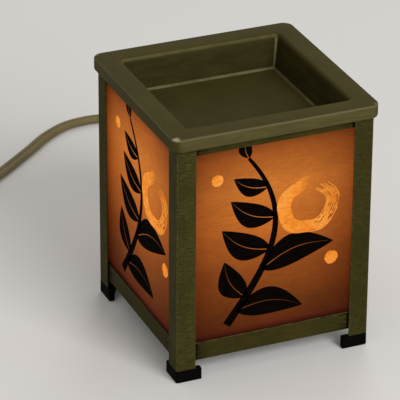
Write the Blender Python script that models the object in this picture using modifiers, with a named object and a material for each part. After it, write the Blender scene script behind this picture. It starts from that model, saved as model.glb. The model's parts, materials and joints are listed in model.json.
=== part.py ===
"""Square lantern fragrance warmer: a sheet-metal frame with four lit panes, a lift-off dish over a small
bulb, and a flat twin lead with an inline switch and a plug. Metres, +Z up, front towards -Y, and the
origin on the table under the middle of the lantern."""

import math

import bmesh
import bpy
from mathutils import Matrix, Vector

# Overall
FRAME_SIDE = 0.1150            # across the outer faces of the corner posts
LANTERN_HEIGHT = 0.1485        # from the table to the top of the dish's rim
CLEARANCE = 0.0003             # between pieces that rest on or touch each other
OVERRUN = 0.0020               # how far a cutter runs past what it cuts
SHEET = 0.0010                 # thickness of the frame's sheet metal
WELD = 0.00001                 # points of one mesh nearer than this are one point

# Facets of the round pieces
SMALL_SIDES = 16
MIDDLE_SIDES = 20
BORE_SIDES = 24
SHELL_SIDES = 28
HOLDER_SIDES = 32
SMALLEST_SIDES = 12

# Corner posts and their feet
POST_LEG = 0.0113
POST_BEND = 0.0012             # outer radius of the fold
FOOT_HEIGHT = 0.0075
FOOT_LEG = 0.0150
FOOT_WALL = 0.0035
FOOT_BLOCK = 0.0070            # side of the block that fills the foot's corner
FOOT_BEND = 0.0012
FOOT_PEG_RISE = 0.0044         # how far the peg goes up behind the post's fold

# Rails
RAIL_END = 0.0075              # from the outer face of a post to the end of a rail
BOTTOM_RAIL_LIFT = 0.0037      # from the lower end of a post to the bottom rail
BOTTOM_RAIL_HEIGHT = 0.0110
BOTTOM_FLANGE = 0.0110
TOP_RAIL_HEIGHT = 0.0044
TOP_LIP = 0.0060               # height of the lip that holds the pane from inside

# Panes
PANE_THICK = 0.0020
PANE_PLAY = 0.0005             # between a pane and the lips behind it

# Dish
RIM_OVERHANG = 0.0028          # from the outer face of a post to the rim's outer face
RIM_LIP = 0.0082
WELL_INSET = 0.0100            # from the outer face of a post to the well's edge
RIM_CORNER = 0.0060
RIM_TOP_ROUND = 0.0011
RIM_UNDER_ROUND = 0.0018
WELL_DEPTH = 0.0200
WELL_DRAFT = 0.0030            # how much each wall leans in from the rim to the floor
WELL_CORNER = 0.0018
WELL_TOP_ROUND = 0.0020
WELL_FOOT_ROUND = 0.0013
DISH_WALL = 0.0025
DISH_FOOT_ROUND = 0.0014

# Base tray, its screws and the holes in it
TRAY_LIP = 0.0060
VENT_RING_R = 0.0300
VENT_R = 0.0030
VENT_COUNT = 10
TRAY_SCREW_X = 0.0340
TRAY_SCREW_EDGE = 0.0088       # from the outer face of a post to the screw's axis
SCREW_HOLE_R = 0.0018
SCREW_R = 0.0015
SCREW_HEAD_R = 0.0030
SCREW_HEAD_H = 0.0018
SCREW_DOME = 0.0006
TRAY_SCREW_LENGTH = 0.0060
CROSS_SLOT_WIDTH = 0.0007
CROSS_SLOT_LENGTH = 0.0034
CROSS_SLOT_DEPTH = 0.0009

# Lampholder and its bracket
BRACKET_SHEET = 0.0012
BRACKET_WIDTH = 0.0180
BRACKET_DECK = 0.0270
BRACKET_RISE = 0.0080
BRACKET_FOOT = 0.0075
BRACKET_SCREW_LENGTH = 0.0050
HOLDER_R = 0.0130
HOLDER_HEIGHT = 0.0260
HOLDER_FLOOR = 0.0050
HOLDER_ROUND = 0.0012
STEM_R = 0.0047
STEM_DROP = 0.0052             # how far the holder's stem goes below the bracket's deck
NUT_ACROSS = 0.0140
NUT_THICK = 0.0025
SHELL_WALL = 0.0005
SHELL_PLAY = 0.0005            # between the bulb's cap and the screw shell
SHELL_LIP = 0.0030             # from the top of the screw shell to the top of the holder
CONTACT_R = 0.0035
CONTACT_THICK = 0.0005
CONTACT_RISE = 0.0022
TERMINAL_R = 0.0019
TERMINAL_HEAD = 0.0022
TERMINAL_SHANK = 0.0020
TERMINAL_HOLE_R = 0.0022
TERMINAL_HEIGHT = 0.0035       # from the underside of the holder to the terminals' axis

# Bulb
CAP_R = 0.0083
CAP_HEIGHT = 0.0160
CAP_WALL = 0.0005
CAP_THREADS = 4
CAP_THREAD_DEPTH = 0.0005
CAP_BASE_R = 0.0055
CAP_CONE = 0.0026
TIP_R = 0.0026
TIP_RISE = 0.0012
GLOBE_R = 0.0200
GLASS_WALL = 0.0008
GLASS_NECK_R = 0.0070
GLASS_NECK_IN_CAP = 0.0060
GLASS_NECK_OUT = 0.0030
MOUNT_R = 0.0034
MOUNT_HEIGHT = 0.0170
MOUNT_TOP_R = 0.0016
MOUNT_FLARE = 0.0040
FILAMENT_R = 0.0005
FILAMENT_SPAN = 0.0090
FILAMENT_LEG = 0.0080
FILAMENT_PEAKS = 4

# Flat twin lead
LEAD_WIDTH = 0.0076
LEAD_THICK = 0.0039
LEAD_LIE = 0.0021              # height of the lead's middle where it lies on the table
LEAD_SEAM_SHARE = 0.62         # half thickness at the groove between the cores, of that at a core
LEAD_CORE_STEPS = 2
LEAD_SQUARE = 0.0030           # straight run at the end of a stretch, square to what it meets
BEND_STEP = 0.0130

# Boot that brings the lead out under the back rail
BOOT_Y = 0.0385                # from the middle of the lantern to the boot's neck
BOOT_BLOCK = 0.0130
BOOT_LIFT = 0.0016             # from the table to the underside of the boot's block
BOOT_TAIL_END = 0.0680
BOOT_TAIL_WIDTH = 0.0110
BOOT_TAIL_HEIGHT = 0.0072
BOOT_TIP_SHARE = 0.84
BOOT_RIBS = 5
BOOT_RIB_STEPS = 3
BOOT_SIDES = 14
BOOT_RIB_DEPTH = 0.0007
BOOT_NECK_R = 0.0048
BOOT_HOLE_R = 0.0052
BOOT_COLLAR_R = 0.0064
BOOT_COLLAR = 0.0015
WIRE_R = 0.0012
WIRE_SPREAD = 0.0017
WIRE_EASE = 0.0040

# Inline switch
SWITCH_LENGTH = 0.0540
SWITCH_WIDTH = 0.0200
SWITCH_HEIGHT = 0.0150
SWITCH_WALL = 0.0020
SWITCH_ROUND = 0.0022
SWITCH_END_SHARE = 0.62        # width of the switch's ends, of its middle
WHEEL_R = 0.0076
WHEEL_PROUD = 0.0022           # how far the wheel stands out of the case
WHEEL_WIDTH = 0.0060
WHEEL_POCKET_PLAY = 0.0007
WHEEL_TEETH = 24
WHEEL_TOOTH = 0.0005
AXLE_R = 0.0014
AXLE_PLAY = 0.0002
AXLE_SEAT_PLAY = 0.0005
SWITCH_SCREW_SHARE = 0.27      # of the switch's length, from its middle to the screw
SWITCH_SCREW_LENGTH = 0.0095
SWITCH_PAD = 0.0004            # height of the switch above the table

# Coil of the lead, and the plug on it
COIL_X = -0.1180
COIL_Y = 0.2391
COIL_R = 0.0515                # to the middle of the outer turn
COIL_START_DEG = -53.1
COIL_TURNS_PER_LAYER = 3
COIL_PITCH = 0.0088
COIL_LAYER = 0.0045
COIL_STEPS = 24
TAIL_BEND_R = 0.0330
TAIL_BEND_DEG = 105.0
TAIL_STEPS = 10
PLUG_RELIEF = 0.0140           # length of the relief between the lead and the plug's body
RELIEF_WIDTH = 0.0097          # at the lead
RELIEF_HEIGHT = 0.0055
RELIEF_FLARE = 1.5             # its size at the plug's body, of that at the lead
PLUG_LENGTH = 0.0240
PLUG_WIDTH = 0.0240
PLUG_THICK = 0.0130
PLUG_NOSE = 0.0160             # width of the plug's back end
PLUG_ROUND = 0.0018
BLADE_SPACING = 0.0127
BLADE_LENGTH = 0.0160
BLADE_THICK = 0.0015
BLADE_WIDTH = 0.0063
BLADE_WIDE = 0.0079
BLADE_SEAT = 0.0040
BLADE_HOLE_R = 0.0015
BLADE_HOLE_SHARE = 0.68        # of the blade's length, from the plug to the hole

# Routes of the lead where it isn't coiled, chosen by hand: x, y and z of its middle
LEAD_TO_SWITCH = [
    (0.0000, 0.0683, 0.0052), (0.0000, 0.0770, 0.0051), (0.0012, 0.0900, 0.0042),
    (0.0045, 0.1050, 0.0030), (0.0100, 0.1200, 0.0024), (0.0168, 0.1340, 0.0024),
]
LEAD_TO_COIL = [
    (0.0430, 0.1822, 0.0024), (0.0468, 0.1895, 0.0023), (0.0530, 0.2045, 0.0021), (0.0560, 0.2225, 0.0021),
    (0.0540, 0.2405, 0.0021), (0.0462, 0.2555, 0.0021), (0.0350, 0.2642, 0.0021), (0.0231, 0.2680, 0.0021),
    (0.0117, 0.2684, 0.0021), (-0.0016, 0.2653, 0.0021), (-0.0175, 0.2554, 0.0021),
    (-0.0331, 0.2415, 0.0021), (-0.0422, 0.2337, 0.0021), (-0.0524, 0.2250, 0.0021),
    (-0.0620, 0.2170, 0.0021), (-0.0720, 0.2093, 0.0021),
]

# Worked out from the sizes above
FRAME_HALF = FRAME_SIDE / 2
RAIL_FACE = FRAME_HALF - SHEET - CLEARANCE
RAIL_HALF = FRAME_HALF - RAIL_END
PANE_FACE = RAIL_FACE - SHEET - CLEARANCE
LIP_FACE = PANE_FACE - PANE_THICK - PANE_PLAY
RIM_HALF = FRAME_HALF + RIM_OVERHANG
RIM_UNDERSIDE = LANTERN_HEIGHT - RIM_LIP
POST_TOP = RIM_UNDERSIDE - CLEARANCE
BOTTOM_RAIL_Z = FOOT_HEIGHT + BOTTOM_RAIL_LIFT
FLANGE_TOP = BOTTOM_RAIL_Z + SHEET
TRAY_Z = FLANGE_TOP + CLEARANCE
TRAY_TOP = TRAY_Z + SHEET
BRACKET_Z = TRAY_TOP + CLEARANCE
DECK_TOP = BRACKET_Z + BRACKET_RISE
HOLDER_Z = DECK_TOP + CLEARANCE
SHELL_R = CAP_R + SHELL_PLAY + SHELL_WALL
HOLDER_BORE_R = SHELL_R + CLEARANCE
SHELL_Z = HOLDER_Z + HOLDER_FLOOR + CLEARANCE
HOLDER_TOP = HOLDER_Z + HOLDER_HEIGHT
TIP_Z = HOLDER_Z + HOLDER_FLOOR + CONTACT_RISE + CONTACT_THICK + CLEARANCE * 2
CAP_Z = TIP_Z + TIP_RISE + CAP_CONE
CAP_TOP = CAP_Z + CAP_HEIGHT
TRAY_SCREW_Y = FRAME_HALF - TRAY_SCREW_EDGE

CORNERS = [("front_left", 0), ("front_right", 90), ("back_right", 180), ("back_left", 270)]
SIDES = [("front", 0), ("right", 90), ("back", 180), ("left", 270)]


def clear_scene():
    for old in list(bpy.data.objects):
        bpy.data.objects.remove(old, do_unlink=True)


def collection(name):
    made = bpy.data.collections.new(name)
    bpy.context.scene.collection.children.link(made)
    return made


def material(name, colour, roughness, metallic=0.0):
    made = bpy.data.materials.new(name)
    made.use_nodes = True
    shader = made.node_tree.nodes["Principled BSDF"]
    shader.inputs["Base Color"].default_value = (*colour, 1.0)
    shader.inputs["Roughness"].default_value = roughness
    shader.inputs["Metallic"].default_value = metallic
    made.diffuse_color = (*colour, 1.0)
    return made


def turn(degrees):
    return Matrix.Rotation(math.radians(degrees), 4, "Z")


def finish(obj, paint):
    obj.data.materials.append(paint)
    PARTS.objects.link(obj)
    return obj


def from_bmesh(name, bm):
    mesh = bpy.data.meshes.new(name)
    bmesh.ops.recalc_face_normals(bm, faces=bm.faces)
    bm.to_mesh(mesh)
    bm.free()
    return bpy.data.objects.new(name, mesh)


def as_cutter(obj):
    obj.hide_render = True
    obj.display_type = "WIRE"
    CUTTERS.objects.link(obj)
    return obj


def box_bmesh(low, high):
    bm = bmesh.new()
    size = Vector(high) - Vector(low)
    middle = (Vector(high) + Vector(low)) / 2
    bmesh.ops.create_cube(bm, size=1.0, matrix=Matrix.Translation(middle) @ Matrix.Diagonal((*size, 1.0)))
    return bm


def box(name, low, high):
    return from_bmesh(name, box_bmesh(low, high))


def rod(name, radius, low, high, sides, end_radius=None):
    """A round rod or cone along Z from low to high, centred on the object's own axis."""
    bm = bmesh.new()
    bmesh.ops.create_cone(
        bm, cap_ends=True, segments=sides, radius1=radius,
        radius2=radius if end_radius is None else end_radius, depth=high - low,
        matrix=Matrix.Translation((0, 0, (low + high) / 2)),
    )
    return from_bmesh(name, bm)


def turned(name, profile, steps):
    """A turned solid: (radius, height) points that run down the outer side, from the top."""
    bm = bmesh.new()
    points = [bm.verts.new((r, 0, z)) for r, z in profile]
    for a, b in zip(points, points[1:]):
        bm.edges.new((a, b))
    if profile[0][0] > 0:
        bm.edges.new((points[-1], points[0]))
    mesh = bpy.data.meshes.new(name)
    bm.to_mesh(mesh)
    bm.free()
    obj = bpy.data.objects.new(name, mesh)
    screw = obj.modifiers.new("turn", "SCREW")
    screw.steps = steps
    screw.render_steps = steps
    screw.use_merge_vertices = True
    screw.merge_threshold = WELD
    screw.use_smooth_shade = True
    return obj


def outline(name, points, low, high):
    """A flat outline in X and Y, given thickness from low to high."""
    curve = bpy.data.curves.new(name, "CURVE")
    curve.dimensions = "2D"
    curve.fill_mode = "BOTH"
    curve.extrude = (high - low) / 2
    spline = curve.splines.new("POLY")
    spline.points.add(len(points) - 1)
    for point, (x, y) in zip(spline.points, points):
        point.co = (x, y, 0, 1)
    spline.use_cyclic_u = True
    obj = bpy.data.objects.new(name, curve)
    obj.location.z = (low + high) / 2
    return obj


def as_mesh(obj):
    """The curve object's solid as a mesh object in the same place, with its caps welded."""
    holder = bpy.context.scene.collection
    holder.objects.link(obj)
    bpy.context.view_layer.update()
    mesh = bpy.data.meshes.new_from_object(obj.evaluated_get(bpy.context.evaluated_depsgraph_get()))
    bm = bmesh.new()
    bm.from_mesh(mesh)
    bmesh.ops.remove_doubles(bm, verts=bm.verts, dist=WELD)
    bm.to_mesh(mesh)
    bm.free()
    made = bpy.data.objects.new(obj.name, mesh)
    made.matrix_world = obj.matrix_world.copy()
    bpy.data.objects.remove(obj, do_unlink=True)
    made.name = mesh.name
    return made


def boolean(target, cutter, operation):
    step = target.modifiers.new(cutter.name, "BOOLEAN")
    step.operation = operation
    step.solver = "EXACT"
    step.object = cutter
    return step


def bevel(target, width, segments=2, angle=40.0):
    step = target.modifiers.new("rounded", "BEVEL")
    step.width = width
    step.segments = segments
    step.limit_method = "ANGLE"
    step.angle_limit = math.radians(angle)
    return step


def arc(centre, radius, start, end, steps):
    """Points from start to end degrees round a centre in a plane."""
    return [
        (centre[0] + radius * math.cos(math.radians(start + (end - start) * i / steps)),
         centre[1] + radius * math.sin(math.radians(start + (end - start) * i / steps)))
        for i in range(steps + 1)
    ]


def angle_outline(leg, wall, bend, block=0.0):
    """An L in plan with its outer fold at the origin and its legs along +X and +Y."""
    inside = [(wall, wall)] if block <= wall else [(block, wall), (block, block), (wall, block)]
    return [(leg, 0), (leg, wall), *inside, (wall, leg), (0, leg), *arc((bend, bend), bend, 180, 270, 3)]


def make_posts(paint):
    points = angle_outline(POST_LEG, SHEET, POST_BEND)
    for corner, degrees in CORNERS:
        post = outline(f"post_{corner}", points, FOOT_HEIGHT, POST_TOP)
        place = turn(degrees) @ Vector((-FRAME_HALF, -FRAME_HALF, 0))
        post.location.x = place.x
        post.location.y = place.y
        post.rotation_euler.z = math.radians(degrees)
        finish(post, paint)


def make_feet(paint):
    points = angle_outline(FOOT_LEG, FOOT_WALL, FOOT_BEND, FOOT_BLOCK)
    peg_low = SHEET + CLEARANCE
    for corner, degrees in CORNERS:
        foot = as_mesh(outline(f"foot_{corner}", points, 0, FOOT_HEIGHT - CLEARANCE))
        place = turn(degrees) @ Matrix.Translation((-FRAME_HALF, -FRAME_HALF, 0))
        foot.matrix_world = place @ foot.matrix_world
        peg = as_cutter(box(
            f"foot_peg_{corner}", (peg_low, peg_low, FOOT_HEIGHT / 2),
            (FOOT_BLOCK, FOOT_BLOCK, FOOT_HEIGHT + FOOT_PEG_RISE),
        ))
        peg.matrix_world = place
        boolean(foot, peg, "UNION")
        finish(foot, paint)


def folded_rail(name, profile, mitre):
    """A strip folded along X: its outer side as (depth, height) points, the depth counted in from the
    rail's face, given its thickness by Solidify. mitre is how much the ends draw in with the depth."""
    bm = bmesh.new()
    ends = []
    for side in (-1, 1):
        ends.append([
            bm.verts.new((side * (RAIL_HALF - mitre * depth), -RAIL_FACE + depth, height))
            for depth, height in profile
        ])
    for i in range(len(profile) - 1):
        bm.faces.new((ends[0][i], ends[0][i + 1], ends[1][i + 1], ends[1][i]))
    mesh = bpy.data.meshes.new(name)
    bm.to_mesh(mesh)
    bm.free()
    rail = bpy.data.objects.new(name, mesh)
    sheet = rail.modifiers.new("sheet", "SOLIDIFY")
    sheet.thickness = SHEET
    sheet.offset = -1
    sheet.use_even_offset = True
    sheet.use_quality_normals = True
    return rail


def make_rails(paint):
    bottom = [
        (0, BOTTOM_RAIL_Z + BOTTOM_RAIL_HEIGHT), (0, BOTTOM_RAIL_Z), (BOTTOM_FLANGE, BOTTOM_RAIL_Z),
    ]
    lip_depth = RAIL_FACE - LIP_FACE + SHEET
    top = [
        (lip_depth, POST_TOP - TOP_LIP), (lip_depth, POST_TOP),
        (0, POST_TOP), (0, POST_TOP - TOP_RAIL_HEIGHT),
    ]
    for side, degrees in SIDES:
        rail = folded_rail(f"rail_bottom_{side}", bottom, 1.0)
        for x in (-TRAY_SCREW_X, TRAY_SCREW_X):
            if side in ("front", "back"):
                hole = as_cutter(rod(
                    f"rail_hole_{side}_{'left' if x < 0 else 'right'}", SCREW_HOLE_R,
                    BOTTOM_RAIL_Z - OVERRUN, FLANGE_TOP + OVERRUN, SMALL_SIDES,
                ))
                hole.matrix_world = turn(degrees) @ Matrix.Translation((x, -TRAY_SCREW_Y, 0))
                boolean(rail, hole, "DIFFERENCE")
        rail.matrix_world = turn(degrees)
        finish(rail, paint)
        rail = folded_rail(f"rail_top_{side}", top, 0.0)
        rail.matrix_world = turn(degrees)
        finish(rail, paint)


def make_panes(paint):
    half = PANE_FACE - PANE_THICK - CLEARANCE
    low = FLANGE_TOP + CLEARANCE
    high = POST_TOP - SHEET - CLEARANCE
    for side, degrees in SIDES:
        pane = box(f"pane_{side}", (-half, -PANE_FACE, low), (half, -PANE_FACE + PANE_THICK, high))
        pane.matrix_world = turn(degrees)
        finish(pane, paint)


def square_loop(bm, half, corner, z, steps):
    points = []
    for k, (sx, sy) in enumerate([(1, -1), (1, 1), (-1, 1), (-1, -1)]):
        centre = (sx * (half - corner), sy * (half - corner))
        points += arc(centre, corner, 90 * k - 90, 90 * k, steps)
    return [bm.verts.new((x, y, z)) for x, y in points]


def dish_levels():
    """(half width, corner radius, height) from under the floor, round the rim, to the well's floor."""
    well_half = FRAME_HALF - WELL_INSET
    floor_half = well_half - WELL_DRAFT
    floor_z = LANTERN_HEIGHT - WELL_DEPTH
    under_z = floor_z - DISH_WALL
    outer_corner = WELL_CORNER + DISH_WALL
    levels = []
    foot = (floor_half + DISH_WALL - DISH_FOOT_ROUND, under_z + DISH_FOOT_ROUND)
    under = (RIM_HALF - RIM_UNDER_ROUND, RIM_UNDERSIDE + RIM_UNDER_ROUND)
    outside = (RIM_HALF - RIM_TOP_ROUND, LANTERN_HEIGHT - RIM_TOP_ROUND)
    inside = (well_half + WELL_TOP_ROUND, LANTERN_HEIGHT - WELL_TOP_ROUND)
    corner = (floor_half - WELL_FOOT_ROUND, floor_z + WELL_FOOT_ROUND)
    for x, z in arc(foot, DISH_FOOT_ROUND, -90, 0, 3):
        levels.append((x, outer_corner + x - floor_half - DISH_WALL, z))
    levels.append((well_half + DISH_WALL, outer_corner, RIM_UNDERSIDE))
    for x, z in arc(under, RIM_UNDER_ROUND, -90, 0, 3):
        levels.append((x, RIM_CORNER + x - RIM_HALF, z))
    for x, z in arc(outside, RIM_TOP_ROUND, 0, 90, 3):
        levels.append((x, RIM_CORNER + x - RIM_HALF, z))
    for x, z in arc(inside, WELL_TOP_ROUND, 90, 180, 3):
        levels.append((x, WELL_CORNER + x - well_half, z))
    for x, z in arc(corner, WELL_FOOT_ROUND, 0, -90, 3):
        levels.append((x, WELL_CORNER + x - floor_half, z))
    return levels


def make_dish(paint):
    bm = bmesh.new()
    loops = [square_loop(bm, half, corner, z, 5) for half, corner, z in dish_levels()]
    bm.faces.new(reversed(loops[0]))
    for below, above in zip(loops, loops[1:]):
        for i in range(len(below)):
            j = (i + 1) % len(below)
            bm.faces.new((below[i], below[j], above[j], above[i]))
    bm.faces.new(loops[-1])
    dish = from_bmesh("dish", bm)
    dish.data.shade_smooth()
    finish(dish, paint)


def screw_solid(name, length):
    """A pan-head screw, head up, its head's underside at the origin and its shank down -Z."""
    return turned(name, [
        (0, SCREW_HEAD_H), (SCREW_HEAD_R - SCREW_DOME, SCREW_HEAD_H),
        (SCREW_HEAD_R, SCREW_HEAD_H - SCREW_DOME), (SCREW_HEAD_R, 0), (SCREW_R, 0),
        (SCREW_R, -length + SCREW_R), (0, -length),
    ], SMALL_SIDES)


def cut_cross(screw, place):
    """A cross slot in the head of a screw that stands at place."""
    arms = [(CROSS_SLOT_LENGTH, CROSS_SLOT_WIDTH), (CROSS_SLOT_WIDTH, CROSS_SLOT_LENGTH)]
    for k, (x, y) in enumerate(arms):
        slot = as_cutter(box(
            f"{screw.name}_slot_{k}", (-x / 2, -y / 2, SCREW_HEAD_H - CROSS_SLOT_DEPTH),
            (x / 2, y / 2, SCREW_HEAD_H + OVERRUN),
        ))
        slot.matrix_world = place
        boolean(screw, slot, "DIFFERENCE")
    screw.matrix_world = place


def make_base_tray(paint, screw_paint):
    bm = box_bmesh((-LIP_FACE, -LIP_FACE, TRAY_Z), (LIP_FACE, LIP_FACE, TRAY_Z + TRAY_LIP))
    bmesh.ops.recalc_face_normals(bm, faces=bm.faces)
    lid = [f for f in bm.faces if f.normal.z > 0.5]
    bmesh.ops.delete(bm, geom=lid, context="FACES_ONLY")
    mesh = bpy.data.meshes.new("base_tray")
    bm.to_mesh(mesh)
    bm.free()
    tray = bpy.data.objects.new("base_tray", mesh)
    sheet = tray.modifiers.new("sheet", "SOLIDIFY")
    sheet.thickness = SHEET
    sheet.offset = -1
    sheet.use_even_offset = True
    sheet.use_quality_normals = True
    low = TRAY_Z - OVERRUN
    high = TRAY_TOP + OVERRUN
    for k in range(VENT_COUNT):
        degrees = 360 / VENT_COUNT * (k + 0.5)
        vent = as_cutter(rod(f"vent_{k}", VENT_R, low, high, SMALLEST_SIDES))
        vent.location = turn(degrees) @ Vector((0, VENT_RING_R, 0))
        boolean(tray, vent, "DIFFERENCE")
    for sx in (-1, 1):
        for sy in (-1, 1):
            name = f"tray_screw_{'front' if sy < 0 else 'back'}_{'left' if sx < 0 else 'right'}"
            spot = Matrix.Translation((sx * TRAY_SCREW_X, sy * TRAY_SCREW_Y, 0))
            hole = as_cutter(rod(f"{name}_hole", SCREW_HOLE_R, low, high, SMALL_SIDES))
            hole.matrix_world = spot
            boolean(tray, hole, "DIFFERENCE")
            screw = screw_solid(name, TRAY_SCREW_LENGTH)
            head = Matrix.Translation((0, 0, BOTTOM_RAIL_Z - CLEARANCE)) @ Matrix.Rotation(math.pi, 4, "X")
            cut_cross(screw, spot @ head)
            finish(screw, screw_paint)
        side = "left" if sx < 0 else "right"
        hole = as_cutter(rod(f"bracket_hole_{side}", SCREW_HOLE_R, low, high, SMALL_SIDES))
        hole.location.x = sx * (BRACKET_DECK / 2 + BRACKET_FOOT / 2)
        boolean(tray, hole, "DIFFERENCE")
    neck = as_cutter(rod("boot_hole", BOOT_HOLE_R, low, high, MIDDLE_SIDES))
    neck.location.y = BOOT_Y
    boolean(tray, neck, "DIFFERENCE")
    finish(tray, paint)


def make_bracket(paint, screw_paint):
    """A strip folded into a bridge: two feet on the tray, and a deck that the holder stands on."""
    half_deck = BRACKET_DECK / 2
    profile = [
        (-half_deck - BRACKET_FOOT, BRACKET_Z + BRACKET_SHEET), (-half_deck, BRACKET_Z + BRACKET_SHEET),
        (-half_deck, DECK_TOP), (half_deck, DECK_TOP), (half_deck, BRACKET_Z + BRACKET_SHEET),
        (half_deck + BRACKET_FOOT, BRACKET_Z + BRACKET_SHEET),
    ]
    bm = bmesh.new()
    rows = [[bm.verts.new((x, y, z)) for x, z in profile] for y in (-BRACKET_WIDTH / 2, BRACKET_WIDTH / 2)]
    for i in range(len(profile) - 1):
        bm.faces.new((rows[0][i], rows[0][i + 1], rows[1][i + 1], rows[1][i]))
    mesh = bpy.data.meshes.new("holder_bracket")
    bm.to_mesh(mesh)
    bm.free()
    bracket = bpy.data.objects.new("holder_bracket", mesh)
    sheet = bracket.modifiers.new("sheet", "SOLIDIFY")
    sheet.thickness = BRACKET_SHEET
    sheet.offset = -1
    sheet.use_even_offset = True
    sheet.use_quality_normals = True
    stem_hole = as_cutter(rod(
        "stem_hole", STEM_R + CLEARANCE, DECK_TOP - BRACKET_SHEET - OVERRUN, DECK_TOP + OVERRUN, BORE_SIDES,
    ))
    boolean(bracket, stem_hole, "DIFFERENCE")
    for sx, side in ((-1, "left"), (1, "right")):
        x = sx * (half_deck + BRACKET_FOOT / 2)
        hole = as_cutter(rod(
            f"bracket_foot_hole_{side}", SCREW_HOLE_R, BRACKET_Z - CLEARANCE / 2,
            BRACKET_Z + BRACKET_SHEET + OVERRUN, SMALL_SIDES,
        ))
        hole.location.x = x
        boolean(bracket, hole, "DIFFERENCE")
        screw = screw_solid(f"bracket_screw_{side}", BRACKET_SCREW_LENGTH)
        cut_cross(screw, Matrix.Translation((x, 0, BRACKET_Z + BRACKET_SHEET + CLEARANCE)))
        finish(screw, screw_paint)
    finish(bracket, paint)


def make_holder(body_paint, nut_paint, brass):
    """The lampholder: an insulating body with a threaded stem, its nut, the screw shell and the contact."""
    floor_z = HOLDER_Z + HOLDER_FLOOR
    holder = turned("lampholder_body", [
        (0, floor_z), (HOLDER_BORE_R, floor_z), (HOLDER_BORE_R, HOLDER_TOP),
        (HOLDER_R - HOLDER_ROUND, HOLDER_TOP), (HOLDER_R, HOLDER_TOP - HOLDER_ROUND),
        (HOLDER_R, HOLDER_Z + HOLDER_ROUND), (HOLDER_R - HOLDER_ROUND, HOLDER_Z), (STEM_R, HOLDER_Z),
        (STEM_R, DECK_TOP - BRACKET_SHEET - STEM_DROP), (0, DECK_TOP - BRACKET_SHEET - STEM_DROP),
    ], HOLDER_SIDES)
    terminal_z = HOLDER_Z + TERMINAL_HEIGHT
    for sx, side in ((-1, "left"), (1, "right")):
        place = Matrix.Translation((sx * HOLDER_R, 0, terminal_z)) @ Matrix.Rotation(sx * math.pi / 2, 4, "Y")
        hole = as_cutter(rod(
            f"terminal_hole_{side}", TERMINAL_HOLE_R, -TERMINAL_SHANK - CLEARANCE, OVERRUN, SMALL_SIDES,
        ))
        hole.matrix_world = place
        boolean(holder, hole, "DIFFERENCE")
        screw = turned(f"terminal_screw_{side}", [
            (0, TERMINAL_HEAD + CLEARANCE), (TERMINAL_HEAD, TERMINAL_HEAD + CLEARANCE),
            (TERMINAL_HEAD, CLEARANCE), (TERMINAL_R, CLEARANCE), (TERMINAL_R, -TERMINAL_SHANK),
            (0, -TERMINAL_SHANK),
        ], SMALL_SIDES)
        screw.matrix_world = place
        finish(screw, brass)
    finish(holder, body_paint)

    bm = bmesh.new()
    nut_top = DECK_TOP - BRACKET_SHEET - CLEARANCE
    bmesh.ops.create_cone(
        bm, cap_ends=True, segments=6, radius1=NUT_ACROSS / math.sqrt(3), radius2=NUT_ACROSS / math.sqrt(3),
        depth=NUT_THICK, matrix=Matrix.Translation((0, 0, nut_top - NUT_THICK / 2)),
    )
    nut = from_bmesh("holder_nut", bm)
    bore = as_cutter(rod(
        "nut_bore", STEM_R + CLEARANCE, nut_top - NUT_THICK - OVERRUN, nut_top + OVERRUN, BORE_SIDES,
    ))
    boolean(nut, bore, "DIFFERENCE")
    finish(nut, nut_paint)

    shell_top = HOLDER_TOP - SHELL_LIP
    inner = SHELL_R - SHELL_WALL
    base_hole = CONTACT_R + CLEARANCE * 2
    finish(turned("screw_shell", [
        (inner, shell_top), (SHELL_R, shell_top), (SHELL_R, SHELL_Z), (base_hole, SHELL_Z),
        (base_hole, SHELL_Z + SHELL_WALL), (inner, SHELL_Z + SHELL_WALL),
    ], SHELL_SIDES), brass)
    finish(turned("centre_contact", [
        (0, floor_z + CLEARANCE + CONTACT_RISE), (CONTACT_R / 2, floor_z + CLEARANCE + CONTACT_RISE),
        (CONTACT_R, floor_z + CLEARANCE + CONTACT_THICK), (CONTACT_R, floor_z + CLEARANCE),
        (0, floor_z + CLEARANCE),
    ], SMALL_SIDES), brass)


def bulb_glass_profile():
    """The outer side of the envelope from the top down to its neck, then the inner side back up."""
    centre_z = CAP_TOP + GLASS_NECK_OUT + math.sqrt(GLOBE_R ** 2 - GLASS_NECK_R ** 2)
    neck_z = CAP_TOP - GLASS_NECK_IN_CAP
    neck_deg = -math.degrees(math.acos(GLASS_NECK_R / GLOBE_R))
    outer = arc((0, centre_z), GLOBE_R, 90, neck_deg, 11)
    inner_r = GLOBE_R - GLASS_WALL
    inner_neck = GLASS_NECK_R - GLASS_WALL
    inner_deg = -math.degrees(math.acos(inner_neck / inner_r))
    inner = arc((0, centre_z), inner_r, inner_deg, 90, 11)
    outer[0] = (0, outer[0][1])
    inner[-1] = (0, inner[-1][1])
    return outer + [(GLASS_NECK_R, neck_z), (inner_neck, neck_z)] + inner


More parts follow.
